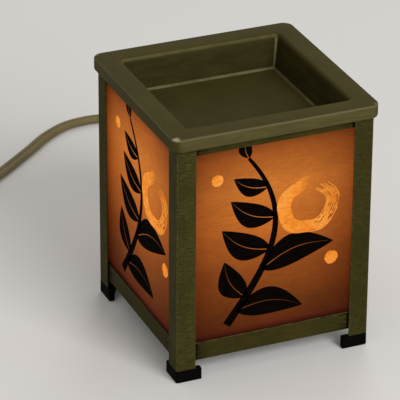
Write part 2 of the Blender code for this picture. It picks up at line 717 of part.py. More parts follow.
def make_bulb(glass, brass, black, wire):
    finish(turned("bulb_glass", bulb_glass_profile(), MIDDLE_SIDES), glass)

    crest = CAP_R
    root = CAP_R - CAP_THREAD_DEPTH
    pitch = (CAP_HEIGHT - CAP_CONE) / CAP_THREADS
    outside = [(crest, CAP_TOP)]
    for k in range(CAP_THREADS):
        top = CAP_TOP - CAP_CONE / 2 - pitch * k
        outside += [(root, top - pitch / 4), (crest, top - pitch / 2), (root, top - pitch * 3 / 4)]
    outside += [(root, CAP_Z + CAP_CONE / 2), (CAP_BASE_R, CAP_Z)]
    bore = root - CAP_WALL
    inside = [(CAP_BASE_R - CAP_WALL, CAP_Z), (bore, CAP_Z + CAP_CONE / 2 + CAP_WALL), (bore, CAP_TOP)]
    finish(turned("bulb_cap", outside + inside, MIDDLE_SIDES), brass)

    cone_top = CAP_Z - CLEARANCE
    finish(turned("bulb_insulator", [
        (0, cone_top), (CAP_BASE_R, cone_top), (TIP_R + CLEARANCE * 2, cone_top - CAP_CONE + CLEARANCE * 2),
        (0, cone_top - CAP_CONE + CLEARANCE * 2),
    ], MIDDLE_SIDES), black)
    tip_top = cone_top - CAP_CONE + CLEARANCE
    finish(turned("bulb_tip", [
        (0, tip_top), (TIP_R, tip_top), (TIP_R / 2, TIP_Z), (0, TIP_Z),
    ], SMALL_SIDES), brass)

    mount_low = CAP_TOP - GLASS_NECK_IN_CAP + CLEARANCE
    mount_r = GLASS_NECK_R - GLASS_WALL - CLEARANCE
    mount_top = mount_low + MOUNT_HEIGHT
    finish(turned("bulb_mount", [
        (0, mount_top), (MOUNT_TOP_R, mount_top), (MOUNT_TOP_R, mount_low + MOUNT_FLARE + MOUNT_R),
        (MOUNT_R, mount_low + MOUNT_FLARE), (mount_r, mount_low), (0, mount_low),
    ], SMALL_SIDES), glass)

    half = FILAMENT_SPAN / 2
    leg_low = mount_top + FILAMENT_R + CLEARANCE
    leg_high = leg_low + FILAMENT_LEG
    points = [(-half, leg_low), (-half, leg_high)]
    for k in range(FILAMENT_PEAKS * 2 - 1):
        x = -half + FILAMENT_SPAN * (k + 1) / (FILAMENT_PEAKS * 2)
        points.append((x, leg_high - (FILAMENT_LEG / 3 if k % 2 == 0 else 0)))
    points += [(half, leg_high), (half, leg_low)]
    route = [(x, 0, z) for x, z in points]
    foot = MOUNT_TOP_R / 2
    finish(tube("bulb_filament", [(-foot, 0, leg_low), *route, (foot, 0, leg_low)], FILAMENT_R, 1), wire)


def tube(name, points, radius, resolution=2):
    curve = bpy.data.curves.new(name, "CURVE")
    curve.dimensions = "3D"
    curve.bevel_depth = radius
    curve.bevel_resolution = resolution
    curve.use_fill_caps = True
    spline = curve.splines.new("POLY")
    spline.points.add(len(points) - 1)
    for point, place in zip(spline.points, points):
        point.co = (*place, 1)
    return bpy.data.objects.new(name, curve)


def smooth(points, step):
    """Points about a step apart on the smooth curve that passes through a route's own points."""
    ends = [2 * Vector(points[0]) - Vector(points[1]), 2 * Vector(points[-1]) - Vector(points[-2])]
    knots = [ends[0], *(Vector(p) for p in points), ends[1]]
    fine = []
    for a, b, c, d in zip(knots, knots[1:], knots[2:], knots[3:]):
        for i in range(16):
            t = i / 16
            fine.append(0.5 * (
                2 * b + (c - a) * t + (2 * a - 5 * b + 4 * c - d) * t ** 2 + (3 * b - a - 3 * c + d) * t ** 3
            ))
    fine.append(knots[-2])
    along = [0.0]
    for a, b in zip(fine, fine[1:]):
        along.append(along[-1] + (b - a).length)
    count = max(2, round(along[-1] / step))
    made, k = [], 0
    for i in range(count + 1):
        want = along[-1] * i / count
        while k < len(fine) - 2 and along[k + 1] < want:
            k += 1
        made.append(fine[k].lerp(fine[k + 1], (want - along[k]) / (along[k + 1] - along[k])))
    return made


def length_of(points):
    return sum((Vector(b) - Vector(a)).length for a, b in zip(points, points[1:]))


def lead_section():
    """The cross-section of the flat twin lead: two round cores and the groove between them."""
    core = LEAD_THICK / 2
    centre = LEAD_WIDTH / 2 - core
    groove = core * LEAD_SEAM_SHARE
    right = arc((centre, 0), core, -90, 90, LEAD_CORE_STEPS + 1)
    left = arc((-centre, 0), core, 90, 270, LEAD_CORE_STEPS + 1)
    points = [*right, (0, groove), *left, (0, -groove)][::-1]
    section = outline("lead_section", points, 0, 0)
    section.data.extrude = 0
    section.data.fill_mode = "NONE"
    return as_cutter(section)


def lead(name, points, section, paint):
    """A stretch of the lead, its flat side level all the way."""
    made = tube(name, points, 0)
    made.data.twist_mode = "Z_UP"
    made.data.bevel_mode = "OBJECT"
    made.data.bevel_object = section
    return finish(made, paint)


def coil_path():
    """The coil's middle line: two layers that spiral in and out again, one unbroken lead, laid clockwise."""
    half_turn = math.pi
    total = 2 * math.pi * COIL_TURNS_PER_LAYER * 2
    steps = COIL_STEPS * COIL_TURNS_PER_LAYER * 2
    start = math.radians(COIL_START_DEG)
    points = []
    for i in range(steps + 1):
        gone = total * i / steps
        reach = COIL_R - COIL_PITCH * min(gone, total - gone) / (2 * math.pi)
        climb = min(1.0, max(0.0, (gone - total / 2) / half_turn + 0.5))
        points.append(Vector((
            COIL_X + reach * math.cos(start - gone), COIL_Y + reach * math.sin(start - gone),
            LEAD_LIE + COIL_LAYER * climb,
        )))
    tangent = Vector((math.sin(start), -math.cos(start), 0))
    return [points[0] - tangent * LEAD_WIDTH, *points, points[-1] + tangent * LEAD_WIDTH]


def tail_path(coil):
    """From the end of the coil in one bend up onto its turns, ending straight at the plug."""
    heading = (coil[-1] - coil[-2]).normalized()
    right = Vector((heading.y, -heading.x, 0)).normalized()
    first = coil[-1] + heading * CLEARANCE
    start = first + heading * LEAD_SQUARE
    middle = start + right * TAIL_BEND_R
    rise = plug_height() - start.z
    points = [first]
    for i in range(TAIL_STEPS + 1):
        share = i / TAIL_STEPS
        spin = Matrix.Rotation(-math.radians(TAIL_BEND_DEG) * share, 3, "Z")
        place = middle - spin @ right * TAIL_BEND_R
        place.z = start.z + rise * math.sin(math.pi / 2 * share)
        points.append(place)
    points.append(points[-1] + spin @ heading * LEAD_SQUARE)
    return points


def plug_height():
    """Height of the plug's middle where it lies on the coil."""
    return LEAD_LIE + COIL_LAYER + LEAD_THICK / 2 + CLEARANCE + PLUG_THICK / 2


def self_gap(path):
    """The least gap between turns: between the round cores of the lead, a quarter turn or more apart."""
    core = LEAD_THICK / 2
    offset = LEAD_WIDTH / 2 - core
    fine = smooth(path, LEAD_THICK / 2)
    cores = []
    for i, place in enumerate(fine):
        ahead = (fine[min(i + 1, len(fine) - 1)] - fine[max(i - 1, 0)]).normalized()
        across = Vector((ahead.y, -ahead.x, 0)).normalized()
        cores.append((place - across * offset, place + across * offset))
    apart = round(COIL_R / (LEAD_THICK / 2))
    least = min(
        (p - q).length for i, a in enumerate(cores) for b in cores[i + apart:] for p in a for q in b
    )
    return least - 2 * core


def make_boot(paint):
    """The moulded elbow that brings the lead down through the tray and out under the back rail."""
    half = BOOT_BLOCK / 2
    tail_z = LEAD_TO_SWITCH[0][2]
    boot = box("lead_boot", (-half, BOOT_Y - half, BOOT_LIFT), (half, BOOT_Y + half, TRAY_Z - CLEARANCE))
    bevel(boot, BOOT_RIB_DEPTH)
    neck = as_cutter(rod("boot_neck", BOOT_NECK_R, TRAY_Z - OVERRUN, TRAY_TOP + CLEARANCE * 2, MIDDLE_SIDES))
    neck.location.y = BOOT_Y
    collar_low = TRAY_TOP + CLEARANCE
    collar = as_cutter(rod("boot_collar", BOOT_COLLAR_R, collar_low, collar_low + BOOT_COLLAR, MIDDLE_SIDES))
    collar.location.y = BOOT_Y
    boolean(boot, neck, "UNION")
    boolean(boot, collar, "UNION")

    start_y = BOOT_Y + half - OVERRUN
    bm = bmesh.new()
    rings = []
    levels = BOOT_RIBS * BOOT_RIB_STEPS
    for i in range(levels + 1):
        share = i / levels
        taper = 1 - (1 - BOOT_TIP_SHARE) * share
        groove = BOOT_RIB_DEPTH if i % BOOT_RIB_STEPS == 2 and i < levels else 0
        rx = BOOT_TAIL_WIDTH / 2 * taper - groove
        rz = BOOT_TAIL_HEIGHT / 2 * taper - groove
        y = start_y + (BOOT_TAIL_END - start_y) * share
        ring = [
            bm.verts.new((rx * math.cos(a), y, tail_z + rz * math.sin(a)))
            for a in (2 * math.pi * k / BOOT_SIDES for k in range(BOOT_SIDES))
        ]
        rings.append(ring)
    bm.faces.new(rings[0])
    bm.faces.new(reversed(rings[-1]))
    for below, above in zip(rings, rings[1:]):
        for i in range(BOOT_SIDES):
            j = (i + 1) % BOOT_SIDES
            bm.faces.new((below[i], above[i], above[j], below[j]))
    tail = as_cutter(from_bmesh("boot_tail", bm))
    boolean(boot, tail, "UNION")
    finish(boot, paint)


def make_wires(line_paint, neutral_paint):
    """The two insulated cores from the top of the boot to the holder's terminals."""
    start_z = TRAY_TOP + CLEARANCE * 2 + BOOT_COLLAR + CLEARANCE
    terminal_x = HOLDER_R + TERMINAL_HEAD / 2 + CLEARANCE
    terminal_z = HOLDER_Z + TERMINAL_HEIGHT
    end_y = TERMINAL_HEAD + CLEARANCE * 2
    for sx, side, paint in ((-1, "left", line_paint), (1, "right", neutral_paint)):
        route = [
            (sx * WIRE_SPREAD, BOOT_Y, start_z), (sx * WIRE_SPREAD, BOOT_Y, start_z + WIRE_EASE),
            (sx * (WIRE_SPREAD + WIRE_EASE), BOOT_Y - 2 * WIRE_EASE, start_z + 2 * WIRE_EASE),
            (sx * (terminal_x - WIRE_EASE / 2), end_y + 3 * WIRE_EASE, terminal_z),
            (sx * terminal_x, end_y + WIRE_EASE, terminal_z), (sx * terminal_x, end_y, terminal_z),
        ]
        finish(tube(f"wire_{side}", smooth(route, WIRE_EASE), WIRE_R, 1), paint)


def switch_frame():
    """Where the switch sits: X along the lead, Y across it, Z up from the table."""
    start = Vector(LEAD_TO_SWITCH[-1])
    heading = Vector(LEAD_TO_SWITCH[-1]) - Vector(LEAD_TO_SWITCH[-2])
    heading.z = 0
    heading.normalize()
    middle = start + heading * (SWITCH_LENGTH / 2 + CLEARANCE)
    across = Vector((-heading.y, heading.x, 0))
    rotation = Matrix((heading, across, Vector((0, 0, 1)))).transposed().to_4x4()
    return Matrix.Translation((middle.x, middle.y, 0)) @ rotation


def switch_outline():
    """The plan of the switch's case: straight in the middle and drawn in towards both ends."""
    long, wide = SWITCH_LENGTH / 2, SWITCH_WIDTH / 2
    end = wide * SWITCH_END_SHARE
    middle = long / 2
    return [(middle, -wide), (long, -end), (long, end), (middle, wide),
            (-middle, wide), (-long, end), (-long, -end), (-middle, -wide)]


def make_switch(case_paint, wheel_paint, screw_paint):
    place = switch_frame()
    top = SWITCH_PAD + SWITCH_HEIGHT
    wheel_z = top - WHEEL_R + WHEEL_PROUD
    half_pocket = WHEEL_WIDTH / 2 + WHEEL_POCKET_PLAY
    pocket_r = WHEEL_R + WHEEL_POCKET_PLAY
    halves = [
        ("switch_lower", SWITCH_PAD, wheel_z - CLEARANCE / 2),
        ("switch_upper", wheel_z + CLEARANCE / 2, top),
    ]
    for name, low, high in halves:
        case = as_mesh(outline(name, switch_outline(), low, high))
        case.matrix_world = place @ case.matrix_world
        edges = bevel(case, SWITCH_ROUND, 3, 60.0)
        edges.limit_method = "WEIGHT"
        weights = case.data.attributes.new("bevel_weight_edge", "FLOAT", "EDGE")
        outer_z = SWITCH_PAD if name == "switch_lower" else top
        middle_z = (low + high) / 2
        for edge in case.data.edges:
            ends = [case.data.vertices[i].co.z + middle_z for i in edge.vertices]
            on_outside = all(abs(z - outer_z) < CLEARANCE / 10 for z in ends)
            upright = abs(ends[0] - ends[1]) > CLEARANCE
            weights.data[edge.index].value = 1.0 if on_outside or upright else 0.0
        pocket = as_cutter(box(
            f"{name}_pocket", (-pocket_r, -half_pocket, wheel_z - pocket_r),
            (pocket_r, half_pocket, top + OVERRUN),
        ))
        pocket.matrix_world = place
        boolean(case, pocket, "DIFFERENCE")
        axle = as_cutter(rod(f"{name}_axle_seat", AXLE_R + AXLE_SEAT_PLAY, -SWITCH_WIDTH / 2 + SWITCH_WALL,
                             SWITCH_WIDTH / 2 - SWITCH_WALL, SMALL_SIDES))
        axle.matrix_world = place @ Matrix.Translation((0, 0, wheel_z)) @ Matrix.Rotation(math.pi / 2, 4, "X")
        boolean(case, axle, "DIFFERENCE")
        screw_x = SWITCH_LENGTH * SWITCH_SCREW_SHARE
        bore = as_cutter(rod(f"{name}_screw_bore", SCREW_R + CLEARANCE, SWITCH_PAD + SWITCH_WALL,
                             top + OVERRUN, SMALL_SIDES))
        bore.matrix_world = place @ Matrix.Translation((screw_x, 0, 0))
        boolean(case, bore, "DIFFERENCE")
        if name == "switch_upper":
            sink = as_cutter(rod("switch_screw_sink", SCREW_HEAD_R + CLEARANCE,
                                 top - SCREW_HEAD_H - CLEARANCE * 2, top + OVERRUN, MIDDLE_SIDES))
            sink.matrix_world = place @ Matrix.Translation((screw_x, 0, 0))
            boolean(case, sink, "DIFFERENCE")
        finish(case, case_paint)
    screw = screw_solid("switch_screw", SWITCH_SCREW_LENGTH)
    cut_cross(screw, place @ Matrix.Translation((screw_x, 0, top - SCREW_HEAD_H - CLEARANCE)))
    finish(screw, screw_paint)

    teeth = []
    for k in range(WHEEL_TEETH * 2):
        r = WHEEL_R - (WHEEL_TOOTH if k % 2 else 0)
        a = math.pi * k / WHEEL_TEETH
        teeth.append((r * math.cos(a), r * math.sin(a)))
    wheel = as_mesh(outline("switch_wheel", teeth, -WHEEL_WIDTH / 2, WHEEL_WIDTH / 2))
    spin = place @ Matrix.Translation((0, 0, wheel_z)) @ Matrix.Rotation(math.pi / 2, 4, "X")
    wheel.matrix_world = spin
    axle_half = SWITCH_WIDTH / 2 - SWITCH_WALL - AXLE_PLAY
    axle = as_cutter(rod("wheel_axle", AXLE_R, -axle_half, axle_half, SMALLEST_SIDES))
    axle.matrix_world = spin
    boolean(wheel, axle, "UNION")
    finish(wheel, wheel_paint)
    print("switch wheel axis", [round(x, 6) for x in spin.translation],
          [round(x, 6) for x in (spin.to_3x3() @ Vector((0, 0, 1)))])


def make_plug(start, heading, case_paint, blade_paint):
    """The two-blade plug, its relief towards the lead, along the heading from start."""
    flat = Vector((heading.x, heading.y, 0)).normalized()
    across = Vector((-flat.y, flat.x, 0))
    rotation = Matrix((flat, across, Vector((0, 0, 1)))).transposed().to_4x4()
    place = Matrix.Translation(start + flat * CLEARANCE) @ rotation
    long = PLUG_RELIEF + PLUG_LENGTH
    half_nose, half_wide = PLUG_NOSE / 2, PLUG_WIDTH / 2
    body = as_mesh(outline("plug_body", [
        (PLUG_RELIEF, -half_nose), (PLUG_RELIEF + PLUG_LENGTH / 2, -half_wide), (long, -half_wide),
        (long, half_wide), (PLUG_RELIEF + PLUG_LENGTH / 2, half_wide), (PLUG_RELIEF, half_nose),
    ], -PLUG_THICK / 2, PLUG_THICK / 2))
    body.matrix_world = place @ body.matrix_world
    bevel(body, PLUG_ROUND, 3, 60.0)
    relief = as_cutter(rod("plug_relief", 1, 0, PLUG_RELIEF + OVERRUN, SMALL_SIDES, RELIEF_FLARE))
    flatten = Matrix.Diagonal((RELIEF_HEIGHT / 2, RELIEF_WIDTH / 2, 1, 1))
    relief.matrix_world = place @ Matrix.Rotation(math.pi / 2, 4, "Y") @ flatten
    boolean(body, relief, "UNION")
    for sy, name, width in ((-1, "plug_blade_wide", BLADE_WIDE), (1, "plug_blade_narrow", BLADE_WIDTH)):
        y = sy * BLADE_SPACING / 2
        half = BLADE_THICK / 2
        slot = as_cutter(box(
            f"{name}_slot", (long - BLADE_SEAT - CLEARANCE, y - half - CLEARANCE, -width / 2 - CLEARANCE),
            (long + OVERRUN, y + half + CLEARANCE, width / 2 + CLEARANCE),
        ))
        slot.matrix_world = place
        boolean(body, slot, "DIFFERENCE")
        blade = box(
            name, (long - BLADE_SEAT, y - half, -width / 2), (long + BLADE_LENGTH, y + half, width / 2),
        )
        blade.matrix_world = place
        hole = as_cutter(rod(f"{name}_hole", BLADE_HOLE_R, -OVERRUN, OVERRUN, SMALL_SIDES))
        hole.matrix_world = (
            place @ Matrix.Translation((long + BLADE_LENGTH * BLADE_HOLE_SHARE, y, 0))
            @ Matrix.Rotation(math.pi / 2, 4, "X")
        )
        boolean(blade, hole, "DIFFERENCE")
        finish(blade, blade_paint)
    finish(body, case_paint)


def make_lead(paint, plug_paint, blade_paint):
    section = lead_section()
    to_switch = smooth(LEAD_TO_SWITCH, BEND_STEP)
    coil = coil_path()
    heading = (coil[1] - coil[0]).normalized()
    to_coil = smooth([*LEAD_TO_COIL, coil[0] - heading * LEAD_SQUARE], BEND_STEP)
    to_coil.append(coil[0] - heading * CLEARANCE)
    tail = tail_path(coil)
    lead("lead_to_switch", to_switch, section, paint)
    lead("lead_to_coil", to_coil, section, paint)
    lead("lead_coil", coil, section, paint)
    lead("lead_tail", tail, section, paint)
    make_plug(tail[-1], tail[-1] - tail[-2], plug_paint, blade_paint)
    total = sum(length_of(p) for p in (to_switch, to_coil, coil, tail))
    print("lead length without the switch", round(total, 4))
    print("least gap between the turns of the coil", round(self_gap(coil), 5))


clear_scene()
PARTS = collection("lantern_fragrance_warmer")
CUTTERS = collection("cutters")

frame_olive = material("frame_olive", (0.085, 0.082, 0.030), 0.42, 0.35)
dish_olive = material("dish_olive", (0.105, 0.100, 0.050), 0.30)
foot_black = material("foot_black", (0.012, 0.011, 0.010), 0.60)
pane_amber = material("pane_amber", (0.560, 0.190, 0.050), 0.35)
tray_steel = material("tray_steel", (0.300, 0.300, 0.290), 0.45, 0.90)
zinc = material("zinc", (0.550, 0.550, 0.530), 0.35, 1.0)
holder_black = material("holder_black", (0.020, 0.019, 0.018), 0.50)
brass_metal = material("brass_metal", (0.700, 0.480, 0.200), 0.30, 1.0)
bulb_glass = material("bulb_glass", (0.900, 0.850, 0.750), 0.20)
tungsten = material("tungsten", (0.400, 0.350, 0.300), 0.40, 1.0)
lead_ivory = material("lead_ivory", (0.700, 0.640, 0.480), 0.45)
wire_black = material("wire_black", (0.020, 0.020, 0.020), 0.50)
wire_white = material("wire_white", (0.700, 0.700, 0.680), 0.50)

make_posts(frame_olive)
make_feet(foot_black)
make_rails(frame_olive)
make_panes(pane_amber)
make_dish(dish_olive)
make_base_tray(tray_steel, zinc)
make_bracket(tray_steel, zinc)
make_holder(holder_black, zinc, brass_metal)
make_bulb(bulb_glass, brass_metal, holder_black, tungsten)
make_boot(lead_ivory)
make_wires(wire_black, wire_white)
make_switch(lead_ivory, holder_black, zinc)
make_lead(lead_ivory, lead_ivory, brass_metal)
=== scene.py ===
import json
import random
from math import atan2, copysign, cos, pi, radians, sin, sqrt

import bmesh
import bpy
from mathutils import Matrix, Vector


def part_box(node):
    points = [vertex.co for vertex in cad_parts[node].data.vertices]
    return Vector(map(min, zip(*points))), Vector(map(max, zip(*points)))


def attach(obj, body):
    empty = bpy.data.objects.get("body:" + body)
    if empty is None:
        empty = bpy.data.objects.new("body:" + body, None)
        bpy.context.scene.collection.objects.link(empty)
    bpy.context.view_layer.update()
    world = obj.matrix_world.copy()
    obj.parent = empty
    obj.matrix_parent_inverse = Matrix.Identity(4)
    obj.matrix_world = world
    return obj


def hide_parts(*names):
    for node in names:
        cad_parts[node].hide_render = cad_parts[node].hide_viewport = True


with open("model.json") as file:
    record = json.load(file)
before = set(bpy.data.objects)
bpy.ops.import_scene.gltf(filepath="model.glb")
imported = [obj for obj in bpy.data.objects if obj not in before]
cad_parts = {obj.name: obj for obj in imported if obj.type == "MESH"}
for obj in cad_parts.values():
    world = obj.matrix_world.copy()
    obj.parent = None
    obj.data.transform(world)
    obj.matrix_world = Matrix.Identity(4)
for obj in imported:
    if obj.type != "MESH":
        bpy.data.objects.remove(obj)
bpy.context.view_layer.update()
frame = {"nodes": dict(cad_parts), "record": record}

NODES = frame["nodes"]

# Sizes of the lantern, in metres, the same as in the part's source; POST_DRAWN is a share of a post's section
FRAME_HALF = 0.0575
SHEET = 0.0010
CLEARANCE = 0.0003
POST_LEG = 0.0113
SHEET_BEND = 0.0012
SHEET_SOFT = 0.0002
POST_LOW = 0.0075
POST_TOP = 0.1400
POST_DRAWN = 0.004
RAIL_FACE = 0.0562
RAIL_HALF = 0.0500
RAIL_END_SHADE = 0.0446
BOTTOM_RAIL_Z = 0.0112
BOTTOM_RAIL_TOP = 0.0222
BOTTOM_FLANGE = 0.0110
TOP_RAIL_LOW = 0.1356
TOP_LIP_LOW = 0.1340
LIP_DEPTH = 0.0048
PANE_FACE = 0.0549
RIM_HALF = 0.0603
RIM_UNDERSIDE = 0.1403
RIM_TOP = 0.1485
RIM_CORNER = 0.0060
RIM_TOP_ROUND = 0.0011
RIM_UNDER_ROUND = 0.0018
WELL_HALF = 0.0475
WELL_FLOOR_HALF = 0.0445
WELL_FLOOR = 0.1285
WELL_CORNER = 0.0018
WELL_DEPTH = RIM_TOP - WELL_FLOOR
WELL_DRAFT = WELL_HALF - WELL_FLOOR_HALF
WELL_TOP_ROUND = 0.0020
WELL_FOOT_ROUND = 0.0013
DISH_WALL = 0.0025
DISH_FOOT_ROUND = 0.0014
FOOT_HEIGHT = 0.0072
FOOT_LEG = 0.0150
FOOT_WALL = 0.0035
FOOT_BLOCK = 0.0070
FOOT_SOFT = 0.0005
PEG_LOW = FOOT_HEIGHT - 0.001
PEG_TOP = 0.0118
PRINT_RISE = 0.00005

# The lead and what is on it, in metres; LEAD_GROOVE is the share of its thickness that the groove leaves, and
# SWITCH_TAPER the share of the switch's half length where its taper begins
LEAD_WIDTH = 0.0076
LEAD_THICK = 0.0039
LEAD_LIE = 0.0021
LEAD_SQUARE = 0.0030
LEAD_STEP = 0.0045
LEAD_GROOVE = 0.34
LEAD_CORE_DEG = 138
BOOT_Y = 0.0385
BOOT_HALF = 0.0065
BOOT_LOW = 0.0016
BOOT_HIGH = 0.0122
BOOT_END = 0.0680
BOOT_RIBS = 6
COIL_X = -0.1180
COIL_Y = 0.2391
COIL_R = 0.0515
COIL_START_DEG = -53.1
COIL_TURNS = 6
COIL_PITCH = 0.0088
COIL_LAYER = 0.0045
COIL_STEPS = 24
TAIL_BEND_R = 0.0330
TAIL_BEND_DEG = 105.0
TAIL_STEPS = 10
PLUG_THICK = 0.0130
PLUG_RELIEF = 0.0140
PLUG_LENGTH = 0.0240
PLUG_HALF_WIDE = 0.0120
PLUG_FACE_ROUND = 0.0018
BLADE_HALF_GAP = 0.00635
BLADE_HALF_THICK = 0.00105
SWITCH_LENGTH = 0.0540
SWITCH_PAD = 0.0004
SWITCH_HEIGHT = 0.0150
SWITCH_HALF_WIDE = 0.0100
SWITCH_TAPER = 0.42
SWITCH_STEPS = 54
SWITCH_SEAM = 0.00018
SWITCH_SCREW_X = SWITCH_LENGTH * 0.27
WHEEL_AXIS_Z = 0.0100
WHEEL_POCKET = 0.0083
WHEEL_HALF_POCKET = 0.0037
LEAD_TO_SWITCH = [
    (0.0000, 0.0683, 0.0052), (0.0000, 0.0770, 0.0051), (0.0012, 0.0900, 0.0042),
    (0.0045, 0.1050, 0.0030), (0.0100, 0.1200, 0.0024), (0.0168, 0.1340, 0.0024),
]
LEAD_TO_COIL = [(0.0430, 0.1822, 0.0024), (0.0468, 0.1895, 0.0023)] + [(x, y, LEAD_LIE) for x, y in [
    (0.0530, 0.2045), (0.0560, 0.2225), (0.0540, 0.2405), (0.0462, 0.2555), (0.0350, 0.2642),
    (0.0231, 0.2680), (0.0117, 0.2684), (-0.0016, 0.2653), (-0.0175, 0.2554), (-0.0331, 0.2415),
    (-0.0422, 0.2337), (-0.0524, 0.2250), (-0.0620, 0.2170), (-0.0720, 0.2093),
]]

# The camera, fitted to the straight edges in the photograph: degrees, metres and pixels of a 400 pixel frame
CAMERA_TURN = -23.81
CAMERA_RISE = 26.96
CAMERA_ROLL = 0.65
CAMERA_REACH = 1.65345
CAMERA_FOCAL = 2975.58
CAMERA_OFFSET = (32.57, 5.09)
CAMERA_TARGET = Vector((0.0, 0.0, 0.0775))
CAMERA_CLIP = (0.05, 20.0)
FRAME_PIXELS = 400
SENSOR = 36.0

# The studio: the world's light and how bright it looks, what the floor shows of itself near and far and where
# that rises, and the lamps, each a place and a power, with a spread that leaves the floor below them unburnt
STUDIO_WHITE = (1.0, 0.98, 0.95)
WORLD_LIGHT = 0.45
WORLD_SEEN = 0.72
FLOOR_DARK = (0.75, 0.74, 0.72)
FLOOR_LIGHT = (0.78, 0.77, 0.75)
FLOOR_REACH = 4.0
FLOOR_DROP = 0.0001
FLOOR_NEAR = 0.02
FLOOR_FAR = 0.36
FLOOR_RISE = (0.9, 2.4)
LAMP_AIM = (0.0, 0.05, 0.05)
LAMP_SIZE = 1.0
LAMP_SPREAD = radians(120)
KEY_LAMP = ((0.40, -1.80, 1.35), 13.6)
BACK_LAMP = ((1.1, 1.9, 1.1), 5.2)

SIDES = [("front", 0), ("right", 90), ("back", 180), ("left", 270)]
CORNERS = [("front_left", 0), ("front_right", 90), ("back_right", 180), ("back_left", 270)]


def linked(name, data):
    obj = bpy.data.objects.new(name, data)
    bpy.context.scene.collection.objects.link(obj)
    return obj


def make_camera():
    yaw, pitch, roll = (radians(v) for v in (CAMERA_TURN, CAMERA_RISE, CAMERA_ROLL))
    back = Vector((sin(yaw) * cos(pitch), -cos(yaw) * cos(pitch), sin(pitch)))
    ahead = -back
    right = ahead.cross(Vector((0, 0, 1))).normalized()
    up = right.cross(ahead)
    level = cos(roll) * right + sin(roll) * up
    upright = -sin(roll) * right + cos(roll) * up
    view = (ahead - (level * CAMERA_OFFSET[0] + upright * CAMERA_OFFSET[1]) / CAMERA_FOCAL).normalized()
    upright = (upright - upright.dot(view) * view).normalized()
    level = view.cross(upright)
    data = bpy.data.cameras.new("photo_camera")
    data.sensor_width = SENSOR
    data.lens = CAMERA_FOCAL * SENSOR / FRAME_PIXELS
    data.clip_start, data.clip_end = CAMERA_CLIP
    matrix = Matrix((level, upright, -view)).transposed().to_4x4()
    matrix.translation = CAMERA_TARGET + back * CAMERA_REACH
    camera = linked("photo_camera", data)
    camera.matrix_world = matrix
    bpy.context.scene.camera = camera


class Nodes:
    """A node tree that is added to one call at a time, up to its shader."""

    def __init__(self, owner, shader):
        owner.use_nodes = True
        self.tree = owner.node_tree
        self.shader = self.tree.nodes[shader]

    def put(self, socket, value):
        if isinstance(value, bpy.types.NodeSocket):
            self.tree.links.new(value, socket)
        elif socket.type == "RGBA":
            socket.default_value = (*value, 1.0)
        else:
            socket.default_value = value

    def set(self, key, value):
        self.put(self.shader.inputs[key], value)

    def node(self, kind, inputs=None, **settings):
        made = self.tree.nodes.new(kind)
        for key, value in settings.items():
            setattr(made, key, value)
        for key, value in (inputs or {}).items():
            self.put(made.inputs[key], value)
        return made

    def math(self, operation, a, b=0.0):
        return self.node("ShaderNodeMath", {0: a, 1: b}, operation=operation).outputs[0]

    def times(self, value, *factors):
        for factor in factors:
            value = self.math("MULTIPLY", value, factor)
        return value

    def span(self, value, low, high, to_low=0.0, to_high=1.0):
        """A smooth rise from low to high, or a fall where low is the larger."""
        return self.node("ShaderNodeMapRange", {
            "Value": value, "From Min": low, "From Max": high, "To Min": to_low, "To Max": to_high,
        }, interpolation_type="SMOOTHSTEP").outputs["Result"]

    def seen(self):
        """One for a ray that sees the background, also in metal or glass, and zero for the others."""
        rays = self.node("ShaderNodeLightPath").outputs
        plain = self.math("MAXIMUM", rays["Is Camera Ray"], rays["Is Glossy Ray"])
        return self.math("MAXIMUM", plain, rays["Is Transmission Ray"])


class Paint(Nodes):
    """A material."""

    def __init__(self, name, roughness, gloss=0.5, metallic=0.0):
        self.material = bpy.data.materials.new(name)
        super().__init__(self.material, "Principled BSDF")
        self.place = self.node("ShaderNodeTexCoord").outputs["Object"]
        self.set("Roughness", roughness)
        self.set("Specular IOR Level", gloss)
        self.set("Metallic", metallic)

    def axis(self):
        return self.node("ShaderNodeSeparateXYZ", {"Vector": self.place}).outputs

    def along_side(self, x, y):
        """How far a point lies from the middle of its side of the lantern."""
        return self.math("MINIMUM", self.math("ABSOLUTE", x), self.math("ABSOLUTE", y))

    def noise(self, scale, detail=3.0, rough=0.55, distortion=0.0, stretch=None):
        place = self.place
        if stretch:
            place = self.node("ShaderNodeVectorMath", {0: place, 1: stretch}, operation="MULTIPLY").outputs[0]
        return self.node("ShaderNodeTexNoise", {
            "Vector": place, "Scale": scale, "Detail": detail, "Roughness": rough, "Distortion": distortion,
        }).outputs["Fac"]

    def mix(self, share, a, b, blend="MIX"):
        made = self.node("ShaderNodeMix", {0: share, 6: a, 7: b}, data_type="RGBA", blend_type=blend)
        return made.outputs[2]

    def cover(self, base, *layers):
        """Sets the base colour; each further colour covers those before it by its share."""
        for share, colour in layers:
            base = self.mix(share, base, colour)
        self.set("Base Color", base)

    def ramp(self, value, stops):
        made = self.node("ShaderNodeValToRGB", {"Fac": value})
        ramp = made.color_ramp
        while len(ramp.elements) < len(stops):
            ramp.elements.new(1.0)
        for element, (place, colour) in zip(ramp.elements, stops):
            element.position = place
            element.color = (*colour, 1.0)
        return made.outputs["Color"]

    def bump(self, height, distance, strength):
        made = self.node("ShaderNodeBump", {"Height": height, "Distance": distance, "Strength": strength})
        self.set("Normal", made.outputs["Normal"])


# The frame's olive: between its strokes and on them, in its fine lines, in painted shade towards the right,
# and worn with a painted highlight along its edges
FRAME_DARK = (0.039, 0.0335, 0.0078)
FRAME_LIGHT = (0.071, 0.0615, 0.0150)
FRAME_LINE = (0.014, 0.0124, 0.0030)
FRAME_SHADED = (0.022, 0.0190, 0.0040)
FRAME_WEAR_AND_HIGHLIGHT = (0.135, 0.122, 0.050)
POST_EDGE = FRAME_HALF - POST_LEG


